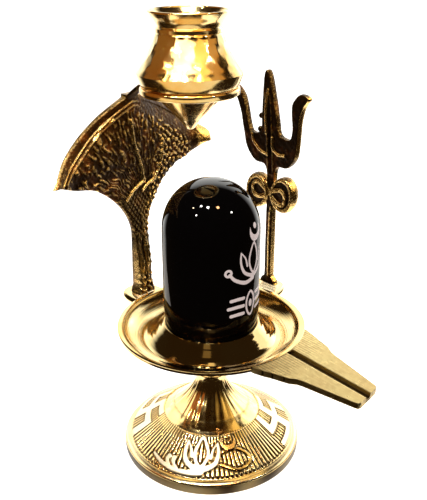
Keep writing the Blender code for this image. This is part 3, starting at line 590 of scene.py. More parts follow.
def dish_outline():
    """(radius, height) from the socket over the collar, bowl and lip, and back under to the stem."""
    bowl_low = LIP_HEIGHT - BOWL_DEPTH
    seat = LIP_HEIGHT - SOCKET_DEPTH
    collar_inner = STONE_BASE_RADIUS + GAP
    collar_outer = collar_inner + 1.2
    bowl_outer = DISH_RADIUS - LIP_WIDTH
    rise = BOWL_DEPTH - 0.15
    stem = NECK_HEIGHT + GAP
    points = [(0.0, seat), (collar_inner, seat), (collar_inner, LIP_HEIGHT + 0.4)]
    points += arc((collar_inner + 0.5, LIP_HEIGHT + 0.35), (0.5, 0.35), 1.0, 0.15, 7)
    for share in np.linspace(0.0, 1.0, 16)[1:]:
        radius = collar_outer + (BOWL_LOW_RADIUS - collar_outer) * share
        drop = (BOWL_DEPTH - 0.2) * math.sin(0.5 * math.pi * share) ** 1.2
        points.append((radius, LIP_HEIGHT - 0.2 - drop))
    points += arc((BOWL_LOW_RADIUS, bowl_low + rise), (bowl_outer - BOWL_LOW_RADIUS, rise), -0.5, 0.0, 14)[1:]
    points += [(bowl_outer + 0.25, LIP_HEIGHT), (DISH_RADIUS - LIP_ROUND, LIP_HEIGHT)]
    points += arc((DISH_RADIUS - LIP_ROUND, LIP_HEIGHT - LIP_ROUND), (LIP_ROUND, LIP_ROUND), 0.5, -0.4, 8)[1:]
    under = [(DISH_RADIUS - 0.3, LIP_HEIGHT - LIP_THICKNESS), (28.6, LIP_HEIGHT - 3.3)]
    under += [(BOWL_LOW_RADIUS, bowl_low - DISH_WALL), (17.0, 37.5), (11.4, stem + 5.4)]
    under += [(8.2, NECK_HEIGHT + 3.2), (6.4, NECK_HEIGHT + 1.5)]
    points += [tuple(p) for p in curve(under, 24)]
    return points + [(5.3, NECK_HEIGHT + 0.7), (NECK_RADIUS, stem), (0.0, stem)]


def spout_half_width(beyond):
    """Half the spout's width at a reach beyond the dish's edge, with an ear at each side."""
    marks = [(-1.5, 15.2), (0.4, 15.2), (2.2, 14.4), (4.2, 13.2), (6.2, 12.4), (7.6, 11.7)]
    marks += [(9.2, 10.3), (10.8, 9.7), (26.5, 6.3), (27.6, 5.9), (28.0, 4.8)]
    return float(np.interp(beyond, *zip(*marks)))


def make_spout():
    """The spout's closed form, with sections across it, each with the channel in its top."""
    sections = []
    stations = [-1.5, 0.4, 1.3, 2.2, 3.2, 4.2, 5.2, 6.2, 7.0, 7.6, 8.1, 8.6, 9.2, 10.0, 10.8]
    stations += list(np.linspace(12.0, 26.5, 12)) + [27.1, 27.6, 27.85, 28.0]
    for beyond in stations:
        half = spout_half_width(beyond)
        reach = DISH_RADIUS + beyond
        bend = float(np.interp(beyond, [0.4, 4.2, 7.6, 10.8], [1.0, 0.6, 0.15, 0.0]))
        top = LIP_HEIGHT - 0.02 - SPOUT_FALL * max(0.0, beyond)
        profile = [(-half + 0.25, 2.1), (-half, 1.8), (-half, 0.2), (-half + 0.2, 0.0), (-half + 0.35, 0.0)]
        profile += [(-0.5 * (half + 1.6), 0.0), (-1.75, 0.0), (-1.6, 0.0), (-1.4, 0.1)]
        profile += [(-1.25, 0.9), (-0.9, 1.1), (0.0, 1.15)]
        row = []
        for across, drop in profile + [(-a, d) for a, d in reversed(profile[:-1])]:
            sag = DISH_RADIUS - math.sqrt(DISH_RADIUS**2 - across**2)
            row.append((across, -(reach - bend * sag), top - drop))
        sections.append(row)
    return grid_mesh("spout", np.array(sections))


def lug_mesh(name, azimuth, end):
    """A rounded tab with rolled edges, out of the dish's lip."""
    root = DISH_RADIUS - 2.1
    sections = []
    for roll in np.linspace(-0.5 * math.pi, 0.5 * math.pi, 9):
        height = LIP_HEIGHT - 0.1 - 1.4 + 1.4 * math.sin(roll)
        inset = 1.1 * (1.0 - math.cos(roll))
        section = []
        for angle in np.linspace(0.0, math.pi, 33):
            across, ahead = full_corner(angle, 0.72)
            side = across * (LUG_HALF_WIDTH - inset)
            out = root + (end - root - inset) * abs(ahead)
            x = math.cos(azimuth) * out - math.sin(azimuth) * side
            y = math.sin(azimuth) * out + math.cos(azimuth) * side
            section.append((x, y, height))
        sections.append(section)
    return grid_mesh(name, np.array(sections))


def fuse(target, mesh, material):
    """Joins a closed mesh to the target with a Boolean union that keeps both materials."""
    helper = new_object(mesh.name, mesh)
    mesh.materials.append(material)
    union = target.modifiers.new("Join", "BOOLEAN")
    union.operation = "UNION"
    union.solver = "EXACT"
    union.material_mode = "TRANSFER"
    union.object = helper
    apply_modifiers(target)
    bpy.data.objects.remove(helper, do_unlink=True)


def apply_modifiers(obj):
    """Swaps the object's mesh for its evaluated one."""
    evaluated = obj.evaluated_get(bpy.context.evaluated_depsgraph_get())
    mesh = bpy.data.meshes.new_from_object(evaluated)
    obj.modifiers.clear()
    obj.data = mesh


def make_dish():
    mesh = turned_mesh("dish_turned", dish_outline(), 256)
    dish = finish_object("dish_turned", mesh, dish_finish, "yoni_dish")
    serpent = math.atan2(SERPENT_PLANE, SERPENT_X)
    fuse(dish, make_spout(), spout_finish)
    fuse(dish, lug_mesh("lug_serpent", serpent, math.hypot(SERPENT_PLANE, SERPENT_X) + 7.4), dish_finish)
    fuse(dish, lug_mesh("lug_trident", TRIDENT_AZIMUTH, TRIDENT_RADIUS + 5.0), dish_finish)
    dish.data.shade_smooth()
    dish.data.set_sharp_from_angle(angle=math.radians(35.0))
    return dish


# Stone with its painted marks

def painted_marks(x, z):
    """Signed distance to the marks, where x runs round the stone and z up it."""
    tail = curve([(-8.6, 72.4), (-6.6, 70.2), (-2.5, 68.4), (1.2, 69.0)], 30)
    best = stroke(x, z, tail, 0.9, 1.5)
    best = np.minimum(best, np.abs(np.hypot(x + 9.0, z - 72.9) - 1.0) - 0.4)
    best = np.minimum(best, lotus(x - 1.4, 74.6 - z, 1.25))
    best = np.minimum(best, crescent(x - 2.6, 84.6 - z))
    turn = np.linspace(0.0, 2.0 * math.pi, 33)
    pointed = np.sign(np.cos(turn)) * np.abs(np.cos(turn)) ** 1.3
    eye = np.stack([2.0 * pointed, STRIPE_LEVEL + 4.2 * np.sin(turn)], 1)
    best = np.minimum(best, stroke(x, z, eye, 0.75))
    best = np.minimum(best, np.hypot(x, 0.6 * (z - STRIPE_LEVEL)) - 0.8)
    for rise, reach in ((2.7, 8.0), (0.0, 8.9), (-2.7, 8.0)):
        level = STRIPE_LEVEL + rise
        stripe = [(3.2, level), (5.6, level + 0.15), (reach, level)]
        best = np.minimum(best, stroke(np.abs(x), z, stripe, 1.15))
    return best


def make_stone():
    low = LIP_HEIGHT - SOCKET_DEPTH + GAP
    dome_low = STONE_TOP - STONE_DOME
    marked = math.radians(48.0)
    middle = -0.5 * math.pi
    azimuths = np.concatenate([
        np.linspace(middle - marked, middle + marked, 150, endpoint=False),
        np.linspace(middle + marked, middle - marked + 2.0 * math.pi, 90, endpoint=False),
    ])
    outline = [(STONE_BASE_RADIUS - 0.5, low), (STONE_BASE_RADIUS, low + 0.5)]
    outline += [(STONE_BASE_RADIUS + 0.3, low + 3.5), (STONE_RADIUS - 0.12, low + 6.5)]
    side_levels = np.linspace(low + 9.0, 87.2, 150)
    outline += [(STONE_RADIUS, height) for height in side_levels if height <= dome_low]
    for angle in np.linspace(0.0, 0.5 * math.pi, 46)[1:-1]:
        out, up = full_corner(angle, 2.0 / STONE_DOME_CURVE)
        outline.append((STONE_RADIUS * out, dome_low + STONE_DOME * up))
    points = turned_points(outline, azimuths)
    turn = np.mod(azimuths - middle + math.pi, 2.0 * math.pi) - math.pi
    height = points[..., 2]
    fields = {"paint": painted_marks(turn * STONE_RADIUS + 0.0 * height, height)}
    poles = {"low_pole": (0.0, 0.0, low), "high_pole": (0.0, 0.0, STONE_TOP)}
    mesh = grid_mesh("stone_polished", points, fields=fields, **poles)
    return finish_object("stone_polished", mesh, stone_finish, "lingam_stone")


# Serpent: hood, neck and pad as one casting, with the arm and the pot's ring

HOOD_LEFT_CURVE = 1.15
HOOD_RIGHT_CURVE = 1.4
HOOD_LOWER_CURVE = 0.62
HOOD_TIP_SAG = 1.5
HOOD_TIP_LOBE = 1.9
HOOD_TIP_LOBE_RISE = 8.0
HOOD_RIBS = (
    (16, ((3.0, 90.6), (1.3, 98.3), (-0.8, 104.1), (-1.7, 112.8))),
    (16, ((6.6, 89.4), (10.6, 93.4), (12.6, 98.0), (13.3, 103.5))),
    (10, ((-6.2, 85.6), (-2.6, 88.6), (3.2, 91.0))),
    (10, ((1.8, 87.4), (4.6, 89.2), (8.6, 90.6))),
    (10, ((-17.0, 109.0), (-13.0, 112.4), (-8.4, 114.2))),
)


def quarter(share, power):
    """Falls from one to zero along a quarter of an oval, full or pinched by its power."""
    return np.maximum(0.0, 1.0 - share**power) ** (1.0 / power)


def hood_rows():
    """(height, left half, right half) from the pad over the neck and the tips to the top."""
    foot = LIP_HEIGHT - 0.1 + GAP
    neck = NECK_HALF_WIDTH
    marks = [(foot, 4.0), (foot + 0.6, 4.1), (foot + 1.6, 3.7)]
    marks += [(foot + 3.4, neck), (foot + 8.0, neck), (NECK_TOP, neck)]
    rows = [(height, half, half) for height, half in curve(marks, 60)]
    share = np.linspace(0.0, 1.0, 400)
    lower_z = HOOD_TIP_HEIGHT - (HOOD_TIP_HEIGHT - NECK_TOP) * quarter(share, HOOD_LOWER_CURVE)
    lower_z = lower_z - HOOD_TIP_SAG * np.sin(math.pi * smooth_step(share, 0.4, 1.0))
    lower_half = neck + (HOOD_HALF_WIDTH - neck) * share
    for height, half in even(lower_z, lower_half, 84)[1:]:
        rows.append((height, half, half))
    up = np.sin(0.5 * math.pi * share) ** (2.0 / HOOD_LEFT_CURVE)
    left = HOOD_HALF_WIDTH * quarter(up, HOOD_LEFT_CURVE)
    for height, half in even(HOOD_TIP_HEIGHT + HOOD_FAN_RISE * up, np.maximum(left, 2.8), 84)[1:]:
        rise = height - HOOD_TIP_HEIGHT
        right = HOOD_HALF_WIDTH * quarter(rise / HOOD_FAN_RISE, HOOD_RIGHT_CURVE)
        lobe = HOOD_TIP_LOBE * math.sin(math.pi * min(1.0, rise / HOOD_TIP_LOBE_RISE))
        rows.append((height, half, min(HOOD_HALF_WIDTH, max(2.8, right) + max(0.0, lobe))))
    return rows


def even(first, second, count):
    """Two lists that trace a line, taken again at equal distances along it."""
    lengths = np.concatenate([[0.0], np.cumsum(np.hypot(np.diff(first), np.diff(second)))])
    wanted = np.linspace(0.0, lengths[-1], count)
    return list(zip(np.interp(wanted, lengths, first), np.interp(wanted, lengths, second)))


def hood_bow(side, height):
    """How far the middle surface stands behind its plane: the rim rolls back, the tips forward."""
    up = (height - HOOD_TIP_HEIGHT) / HOOD_FAN_RISE
    out = np.abs(side) / HOOD_HALF_WIDTH
    reach = (out**1.2 + np.maximum(0.0, up) ** 1.2) ** (1.0 / 1.2)
    back = 3.6 * reach**2 * smooth_step(up, 0.05, 0.6) * (0.4 + 0.6 * smooth_step(out, 0.0, 0.4))
    curl = smooth_step(out, 0.72, 1.0) * (1.0 - smooth_step(up, 0.0, 0.4))
    return back * (1.0 - curl) - 2.8 * curl


def hood_strokes(x, z):
    """Broken feather strokes that fan out above the neck, and dots over the right side."""
    radius = np.hypot(x - 4.0, z - 80.0)
    feather = np.arctan2(x - 4.0, z - 80.0) * 17.0 + 0.5 * np.sin(radius / 3.6)
    feather = feather + 0.75 * mottled(x, z, 2.6) + 0.2 * mottled(z, x, 0.9)
    vein = 1.0 - np.abs(np.mod(feather, 1.0) - 0.5) * 2.0
    breaks = np.sin(radius * 0.85 + np.floor(feather) * 2.4 + 1.5 * mottled(x, z, 2.0))
    strokes = smooth_step(vein, 0.3, 0.8) * smooth_step(breaks, -0.75, -0.1)
    strokes = strokes * smooth_step(radius, 8.0, 12.0) * smooth_step(z, 82.0, 88.0)
    strokes = strokes * (0.65 + 0.35 * mottled(x, z, 1.3))
    dots = smooth_step(mottled(x + 40.0, z, 0.75), 0.05, 0.45)
    right_side = smooth_step(x - 0.35 * (z - 92.0), 5.0, 9.0)
    return strokes * (1.0 - right_side) + dots * right_side


def neck_scales(x, z):
    """Crossed slanting lines over the neck, all but its plain left side."""
    rising, falling = (np.abs(np.mod((z + slant * x) / 2.6, 1.0) - 0.5) for slant in (1.5, -1.5))
    scales = smooth_step(0.5 - np.maximum(rising, falling), 0.06, 0.22)
    across = x + 1.6 * smooth_step(z, 66.0, 78.0) * (z - 66.0)
    return scales * smooth_step(z, 56.0, 60.0) * smooth_step(across, -1.0, -0.4)


def hood_relief(x, z):
    """Height of the carving above the hood's face, and how bright it is: rubbed bright where it stands proud,
    with painted highlights on the lower left corner, the left band, the rim edge and the plain left side of
    the neck, and bright at the right tip.
    """
    up = np.maximum(0.0, (z - HOOD_TIP_HEIGHT) / HOOD_FAN_RISE)
    out = np.abs(x) / HOOD_HALF_WIDTH
    power = np.where(x < 0.0, HOOD_LEFT_CURVE, HOOD_RIGHT_CURVE)
    inset = (1.0 - (out**power + up**power) ** (1.0 / power)) * 28.0
    on_fan = smooth_step(z, 84.0, 90.0)
    left = 1.0 - smooth_step(x, -2.0, 5.0)
    band = (1.0 - smooth_step(inset, 2.3, 2.8)) * on_fan
    line_out = line_at(inset, 3.2, 0.4) * left
    line_in = line_at(inset, 5.0, 0.4) * left
    trench = line_at(inset, 4.1, 0.45) * left
    field = smooth_step(inset, 5.4, 6.2) * left + smooth_step(inset, 6.5, 8.5) * (1.0 - left)
    rib = ridges(x, z, HOOD_RIBS, 0.5, 0.45)
    clear = 1.0 - smooth_step(rib, 0.05, 0.4)
    strokes = hood_strokes(x, z) * field * clear
    scales = neck_scales(x, z) * (1.0 - on_fan) * clear
    ridge = line_at(x, 0.6, 0.5) * (1.0 - smooth_step(z, 76.0, 82.0)) * smooth_step(z, 50.0, 53.0)
    highlit_corner = (1.0 - smooth_step(x, -32.0, -10.0)) * (1.0 - smooth_step(z, 99.0, 107.0))
    tip = smooth_step(x, 31.0, 35.0) * smooth_step(z, 93.0, 97.0)
    plain = smooth_step(-x, 0.9, 1.3) * (1.0 - smooth_step(z, 66.0, 76.0))
    edge = 1.0 - smooth_step(inset, 0.0, 1.0)
    height = 0.35 * band + 0.45 * line_out + 0.35 * line_in - 0.35 * trench
    height = height + 0.5 * strokes + 0.5 * rib + 0.35 * scales + 0.3 * ridge
    height = height + 0.06 * mottled(x, z, 0.6) * on_fan
    # Rubbed bright on the proud carving, with painted highlights on the lower left corner, the plain left
    # side of the neck, the left band and the rim edge.
    rub_and_highlight = 0.62 * line_out + 0.4 * line_in + (0.6 + 0.2 * highlit_corner) * strokes
    rub_and_highlight = rub_and_highlight + 0.95 * rib + 0.28 * scales + 0.45 * ridge + 0.9 * tip + 0.42 * plain
    rub_and_highlight = rub_and_highlight + (0.05 + 0.15 * highlit_corner) * band * left
    rub_and_highlight = rub_and_highlight + (0.1 * (1.0 - field) * (1.0 - left) + 0.3 * edge) * on_fan
    return height * (1.0 - 0.8 * tip), np.clip(rub_and_highlight, 0.0, 1.0)


def make_hood():
    rows = np.array(hood_rows())
    height, left, right = rows[:, :1], rows[:, 1:2], rows[:, 2:]
    spread = np.linspace(-1.0, 1.0, 241)
    share_front = np.sin(0.5 * math.pi * spread) * 0.5 + 0.5 * spread
    share_back = np.linspace(1.0, -1.0, 62)[1:-1]
    share = np.concatenate([share_front, share_back])
    front = np.concatenate([np.full(241, -1.0), np.full(60, 1.0)])
    side = share * np.where(share < 0.0, left, right)
    foot = rows[0, 0]
    lift = smooth_step(height, foot, HOOD_TIP_HEIGHT)
    middle = SERPENT_X + (HOOD_X - SERPENT_X) * lift
    slim = smooth_step(height, foot + 1.6, 80.0)
    pad = 1.0 - smooth_step(height, foot + 1.4, foot + 3.4)
    thickness = 5.2 - 2.8 * slim + 0.6 * pad
    z = height + 0.0 * share
    rounding = (1.0 - np.abs(share) ** 8) ** 0.5
    relief, rub_and_highlight = hood_relief(side, z)
    facing = np.where(front < 0.0, 1.0, 0.0) * smooth_step(1.0 - np.abs(share), 0.0, 0.03)
    y = SERPENT_PLANE + hood_bow(side, z) + front * (0.5 * thickness * rounding + relief * facing)
    back_field = 0.22 + 0.06 * mottled(side, z, 1.1) + 0.05 * mottled(side, z, 4.0)
    rub_and_highlight = np.where(front < 0.0, rub_and_highlight, back_field)
    points = np.stack([middle + side, y, z], -1)
    mesh = grid_mesh("serpent_cast", points, fields={"rub_and_highlight": rub_and_highlight})
    return finish_object("serpent_cast", mesh, hood_finish, "serpent_hood", sharp=70.0)


def make_ring():
    half_band, half_height = 0.5 * RING_BAND, 0.5 * RING_HEIGHT
    outline = []
    for angle in np.linspace(0.0, 2.0 * math.pi, 28, endpoint=False):
        out, up = full_corner(angle, 0.6)
        outline.append((RING_OUTER - half_band + out * half_band, RING_TOP - half_height + up * half_height))
    mesh = turned_mesh("pot_ring", outline, 160, POT, wrap_rows=True)
    return finish_object("pot_ring", mesh, pot_finish, "serpent_hood")


def make_arm():
    """The short arm that bends from the top of the hood to the back of the ring."""
    start = SERPENT_PLANE + float(hood_bow(0.0, HOOD_TOP))
    end = POT[1] + RING_OUTER - 0.6 * RING_BAND
    level = RING_TOP - 0.5 * RING_HEIGHT
    low = HOOD_TOP - 2.4
    bend = (0.5 * (start + end), level - 1.4)
    route = curve([(start + 0.6, low - 1.2), (start - 0.6, low + 0.8), bend, (end, level)], 18)
    sections = []
    for index, (y, z) in enumerate(route):
        share = index / (len(route) - 1)
        half = 0.5 * (5.8 - 2.6 * share)
        deep = 0.5 * (3.2 - 1.4 * share)
        middle = HOOD_X + (POT[0] - HOOD_X) * share
        section = []
        for angle in np.linspace(0.0, 2.0 * math.pi, 20, endpoint=False):
            across, up = full_corner(angle, 0.7)
            section.append((middle + across * half, y - 0.35 * up * deep, z + up * deep))
        sections.append(section)
    points = np.array(sections)
    field = 0.15 + 0.15 * mottled(points[..., 0], points[..., 1], 1.5)
    mesh = grid_mesh("serpent_arm", points, fields={"rub_and_highlight": field})
    return finish_object("serpent_arm", mesh, hood_finish, "serpent_hood")


# Pot: hammered, hollow, with a flared mouth and a drip tube

def pot_outline():
    """(radius, height) up the inside, over the rim and down the outside, and where the outside starts."""
    inside = [(0.0, POT_SEAT_LEVEL - 6.1), (4.0, POT_SEAT_LEVEL - 5.7), (11.6, POT_SEAT_LEVEL + 0.3)]
    inside += [(14.3, POT_SEAT_LEVEL + 1.1), (15.3, POT_EDGE_LEVEL + 0.2), (9.2, POT_BODY_TOP - 0.3)]
    inside += [(9.1, POT_NECK_LEVEL), (9.9, POT_TOP - 2.4), (POT_MOUTH_RADIUS - 0.8, POT_TOP - 0.4)]
    walls = finer(inside, 1.2) + arc((POT_MOUTH_RADIUS - 0.4, POT_TOP - 0.4), (0.4, 0.4), 1.0, 0.0, 7)
    flare = [(POT_MOUTH_RADIUS, POT_TOP - 0.6), (11.7, POT_TOP - 1.7), (10.6, POT_TOP - 3.2)]
    flare += [(POT_NECK_RADIUS, POT_NECK_LEVEL + 0.4)]
    outside = [tuple(p) for p in curve(flare, 14)]
    band = POT_NECK_RADIUS + 0.5
    outside += [(band - 0.35, POT_NECK_LEVEL + 0.15), (band, POT_NECK_LEVEL - 0.2)]
    outside += [(band, POT_BODY_TOP + 0.2), (band - 0.2, POT_BODY_TOP)]
    for share in np.linspace(0.0, 1.0, 36)[1:]:
        drop = (POT_BODY_TOP - POT_EDGE_LEVEL) * share
        outside.append((band + (POT_RADIUS - band) * share**1.35, POT_BODY_TOP - drop))
    under = [(POT_RADIUS, POT_EDGE_LEVEL - 0.25), (POT_RADIUS - 0.25, POT_EDGE_LEVEL - 1.2)]
    under += [(POT_SEAT_RADIUS + 0.6, POT_EDGE_LEVEL - 2.8), (POT_SEAT_RADIUS, POT_SEAT_LEVEL)]
    outside += [tuple(p) for p in curve(under, 14)]
    spigot = RING_OUTER - RING_BAND - 0.4
    outside += [(spigot, POT_SEAT_LEVEL), (spigot, POT_SEAT_LEVEL - 0.7)]
    cone = [(spigot - 0.3, POT_SEAT_LEVEL - 1.0), (6.4, POT_SEAT_LEVEL - 7.6), (3.4, POT_SEAT_LEVEL - 10.6)]
    tube_end = POT_SEAT_LEVEL - 13.6
    outside += finer(cone, 0.7) + [(1.4, tube_end + 0.3), (0.9, tube_end), (0.0, tube_end)]
    return np.array(walls + outside), len(walls)


def make_pot():
    outline, outside_start = pot_outline()
    azimuths = np.linspace(0.0, 2.0 * math.pi, 260, endpoint=False)
    points = turned_points(outline[1:-1], azimuths, POT)
    height = outline[1:-1, 1:] + 0.0 * azimuths
    outer = (np.arange(len(outline) - 2) >= outside_start - 2)[:, None]
    on_body = smooth_step(height, POT_EDGE_LEVEL + 0.6, POT_EDGE_LEVEL + 2.0)
    on_body = on_body * (1.0 - smooth_step(height, POT_BODY_TOP - 1.0, POT_BODY_TOP - 0.3)) * outer
    rows = (POT_BODY_TOP - height) / DENT_HEIGHT
    turn = azimuths * DENTS_ROUND / (2.0 * math.pi) + 0.37 * np.floor(rows)
    facet = np.abs(np.mod(turn + 0.12 * mottled(height, azimuths * 9.0, 1.5), 1.0) - 0.5)
    level = np.abs(np.mod(rows, 1.0) - 0.5)
    push = -DENT_DEPTH * (1.0 - 4.0 * facet**2) * (1.0 - 2.5 * level**2) * on_body
    points[..., 0] += push * np.cos(azimuths)
    points[..., 1] += push * np.sin(azimuths)
    mesh = grid_mesh("pot_hammered", points, low_pole=(*POT, outline[0][1]), high_pole=(*POT, outline[-1][1]))
    return finish_object("pot_hammered", mesh, pot_finish, "water_pot", sharp=30.0)


# Trident with its drum, as one casting

def trident_half(extra):
    """(side, height) of half the trident from the pad up to the middle tip.

    The extra width goes to the upper part of the side prong.
    """
    foot = LIP_HEIGHT - 0.1 + GAP
    side = [(3.4, foot), (3.4, foot + 0.8), (3.3, foot + 1.7), (2.0, foot + 3.0), (1.65, foot + 4.0)]
    side += [(1.65, 60.0), (1.65, 74.0), (1.65, 87.4), (2.6, 94.0), (7.5, 94.9), (11.3, 99.0)]
    side += [(12.6, 104.9), (13.6, 111.6), (15.4, 116.6), (17.8, 119.75), (16.9, 121.0)]
    side += [(14.8 - 0.6 * extra, 120.4 + 0.5 * extra), (12.3 - extra, 117.9), (11.1 - 0.6 * extra, 114.4)]
    side += [(10.3, 109.5), (9.4, 105.9), (7.4, 105.1)]
    return side + [(4.2, 106.3), (3.5, 111.4), (2.7, 117.6), (1.5, 124.9), (0.7, 127.1)]


def trident_bend(height):
    over = np.maximum(0.0, height - TRIDENT_HEAD) / (TRIDENT_TOP - TRIDENT_HEAD)
    return -3.1 * over**1.2


TRIDENT_FOOT = np.array([math.cos(TRIDENT_AZIMUTH), math.sin(TRIDENT_AZIMUTH)]) * TRIDENT_RADIUS
TRIDENT_ACROSS = np.array([math.sin(TRIDENT_TURN), -math.cos(TRIDENT_TURN)])
TRIDENT_INWARD = np.array([-math.cos(TRIDENT_TURN), -math.sin(TRIDENT_TURN)])
TRIDENT_LINES = (
    (14, ((-9.2, 105.6), (-8.2, 102.0), (-5.2, 99.4), (-1.6, 98.4))),
    (14, ((0.6, 104.6), (1.0, 101.0), (3.2, 99.2), (6.2, 99.4))),
    (10, ((-2.4, 106.0), (-2.9, 113.0), (-2.0, 121.0))),
    (10, ((0.7, 52.0), (0.4, 66.0), (0.7, 79.0))),
)


def trident_plate(outline, thickness, bevel):
    """A flat closed casting of an outline in the trident's plane, with bevelled faces."""
    outline = np.array(outline, float)
    before, after = np.roll(outline, 1, axis=0), np.roll(outline, -1, axis=0)
    along = after - before
    normal = np.stack([along[:, 1], -along[:, 0]], 1)
    normal /= np.linalg.norm(normal, axis=1, keepdims=True) + 1e-9
    area = 0.5 * np.sum(before[:, 0] * outline[:, 1] - outline[:, 0] * before[:, 1])
    outward = math.copysign(1.0, area) * normal
    sections = []
    for depth, shrink in ((-0.5, bevel), (-0.15, 0.0), (0.15, 0.0), (0.5, bevel)):
        row = []
        for side, height in outline - outward * shrink:
            place = TRIDENT_FOOT + TRIDENT_ACROSS * side + TRIDENT_INWARD * depth * thickness
            row.append((*place, height))
        sections.append(row)
    return grid_mesh("trident_plate", np.array(sections))


def trident_relief(side, height):
    """Height of the carving on the faces and how far it is rubbed bright."""
    s = side - trident_bend(height)
    groove = line_at(s, 0.0, 0.45) * smooth_step(height, 90.5, 93.0)
    groove = groove * (1.0 - smooth_step(height, 112.0, 117.0))
    rims = line_at(np.abs(s), 1.2, 0.4) * smooth_step(height, 91.0, 94.0)
    rims = rims * (1.0 - smooth_step(height, 118.0, 123.0))
    line = ridges(side, height, TRIDENT_LINES, 0.4, 0.5)
    turn = np.linspace(0.0, 2.0 * math.pi, 49)
    knot = np.stack([7.6 * np.sin(turn), 5.4 * np.sin(turn) * np.cos(turn) - 1.2 * np.sin(turn)], 1)
    level = height - DRUM_HEIGHT - DRUM_TILT * side
    loops = 1.0 - smooth_step(stroke(side, level, knot, 1.0), 0.0, 0.5)
    for middle in (-DRUM_LOBE, DRUM_LOBE):
        rim = np.abs(np.hypot((side - middle) / 4.6, level / 5.7) - 1.0) * 5.0 - 0.4
        loops = np.maximum(loops, 1.0 - smooth_step(rim, 0.0, 0.5))
    drum = 1.0 - smooth_step(np.abs(level), 6.4, 7.0)
    drum = drum * (1.0 - smooth_step(np.abs(side), 11.4, 11.8))
    rough = mottled(side, height, 0.8)
    relief = -0.5 * groove + 0.22 * rims + 0.3 * line + drum * (0.45 * loops - 0.3) + 0.07 * rough
    rub_and_highlight = 0.35 * rims + 0.8 * line + drum * 0.7 * loops + 0.12 * rough + 0.08
    return relief, np.clip(rub_and_highlight, 0.0, 1.0)


def trident_casting():
    """The trident's body: its plates melted into one skin and softened."""
    outline = [(side + trident_bend(height), height) for side, height in trident_half(1.5)]
    outline.append((float(trident_bend(TRIDENT_TOP)), TRIDENT_TOP))
    outline += [(trident_bend(height) - side, height) for side, height in reversed(trident_half(0.0))]
    parts = [trident_plate(curve(outline, 300, closed=True)[:-1], 2.5, 0.2)]
    turn = np.linspace(0.0, 2.0 * math.pi, 40, endpoint=False)
    for sign in (-1.0, 1.0):
        lobe_side = sign * DRUM_LOBE + 5.4 * np.cos(turn)
        lobe_up = 6.6 * np.sin(turn) * (1.0 + 0.1 * sign * np.cos(turn))
        lobe = np.stack([lobe_side, DRUM_HEIGHT + lobe_up + DRUM_TILT * lobe_side], 1)
        parts.append(trident_plate(lobe, 3.8, 0.4))
    for side, height, size in ((-4.2, 111.4, 1.1), (-5.2, 106.6, 1.0)):
        across = side + trident_bend(height) + size * np.cos(turn)
        parts.append(trident_plate(np.stack([across, height + size * np.sin(turn)], 1), 1.8, 0.3))
    bm = bmesh.new()
    for part in parts:
        bm.from_mesh(part)
    mesh = bpy.data.meshes.new("trident_cast")
    bm.to_mesh(mesh)
    bm.free()
    trident = finish_object("trident_cast", mesh, trident_finish, "trident", sharp=80.0)
    remesh = trident.modifiers.new("Remesh", "REMESH")
    remesh.mode = "VOXEL"
    remesh.voxel_size = 0.22 * MM
    soften = trident.modifiers.new("Soften", "SMOOTH")
    soften.iterations = 3
    apply_modifiers(trident)
    return trident


def vertex_values(mesh, name):
    """The places or the normals of a mesh's vertices."""
    values = np.zeros(len(mesh.vertices) * 3)
    mesh.vertices.foreach_get(name, values)
    return values.reshape(-1, 3)


def make_trident():
    trident = trident_casting()
    mesh = trident.data
    place = vertex_values(mesh, "co") / MM
    normal = vertex_values(mesh, "normal")
    side = (place[:, :2] - TRIDENT_FOOT) @ TRIDENT_ACROSS
    facing = normal[:, :2] @ TRIDENT_INWARD
    across = smooth_step(normal[:, :2] @ TRIDENT_ACROSS, 0.2, 0.7)
    relief, rub_and_highlight = trident_relief(side, place[:, 2])
    weight = smooth_step(np.abs(facing), 0.6, 0.95)
    place[:, :2] += (np.sign(facing) * weight * relief)[:, None] * TRIDENT_INWARD
    lit_edge = across * smooth_step(side, 7.0, 9.0) * smooth_step(place[:, 2], 98.0, 102.0)
    lit_edge = np.maximum(lit_edge, 0.6 * across * (place[:, 2] < 92.0))
    # The plates' sides: a base brightness with painted highlights on the lit edges.
    rub_and_highlight = rub_and_highlight * weight + (1.0 - weight) * (0.3 + 0.7 * lit_edge)
    mesh.vertices.foreach_set("co", (place * MM).ravel())
    mesh.attributes.new("rub_and_highlight", "FLOAT", "POINT").data.foreach_set("value", rub_and_highlight.astype(np.float32))
    mesh.materials.clear()
    mesh.materials.append(trident_finish)
    mesh.shade_smooth()
    mesh.update()
    return trident


# Stage, light and camera

EYE = Vector((-0.17375, -0.13818, 0.17014))
VIEW = Vector((0.7208, 0.5692, -0.3955))
VIEW_AHEAD = Vector((VIEW.x, VIEW.y, 0.0)).normalized()
VIEW_RIGHT = Vector((VIEW_AHEAD.y, -VIEW_AHEAD.x, 0.0))
LENS = 53.0
SENSOR = 36.0
DIM_ROOM = (0.02, 0.012, 0.005, 1.0)
WHITE_SWEEP = (1.8, 1.78, 1.7, 1.0)


def stage_place(ahead, right, up):
    """A place in metres ahead of, right of and above the origin as the camera sees it."""
    return VIEW_AHEAD * ahead + VIEW_RIGHT * right + Vector((0.0, 0.0, up))


def make_floor():
    mesh = bpy.data.meshes.new("floor")
    corners = [stage_place(*c, 0.0) for c in ((-0.036, -0.095), (-0.036, 0.095), (1.2, 0.5), (1.2, -0.5))]
    mesh.from_pydata(corners, [], [(0, 1, 2, 3)])
    material, _, shader = new_material("floor_paper")
    shader.inputs["Base Color"].default_value = (0.94, 0.94, 0.93, 1.0)
    shader.inputs["Roughness"].default_value = 0.8
    shader.inputs["Emission Color"].default_value = (1.0, 0.99, 0.97, 1.0)
    shader.inputs["Emission Strength"].default_value = 1.1
    mesh.materials.append(material)
    floor = new_object("floor", mesh)
    return floor


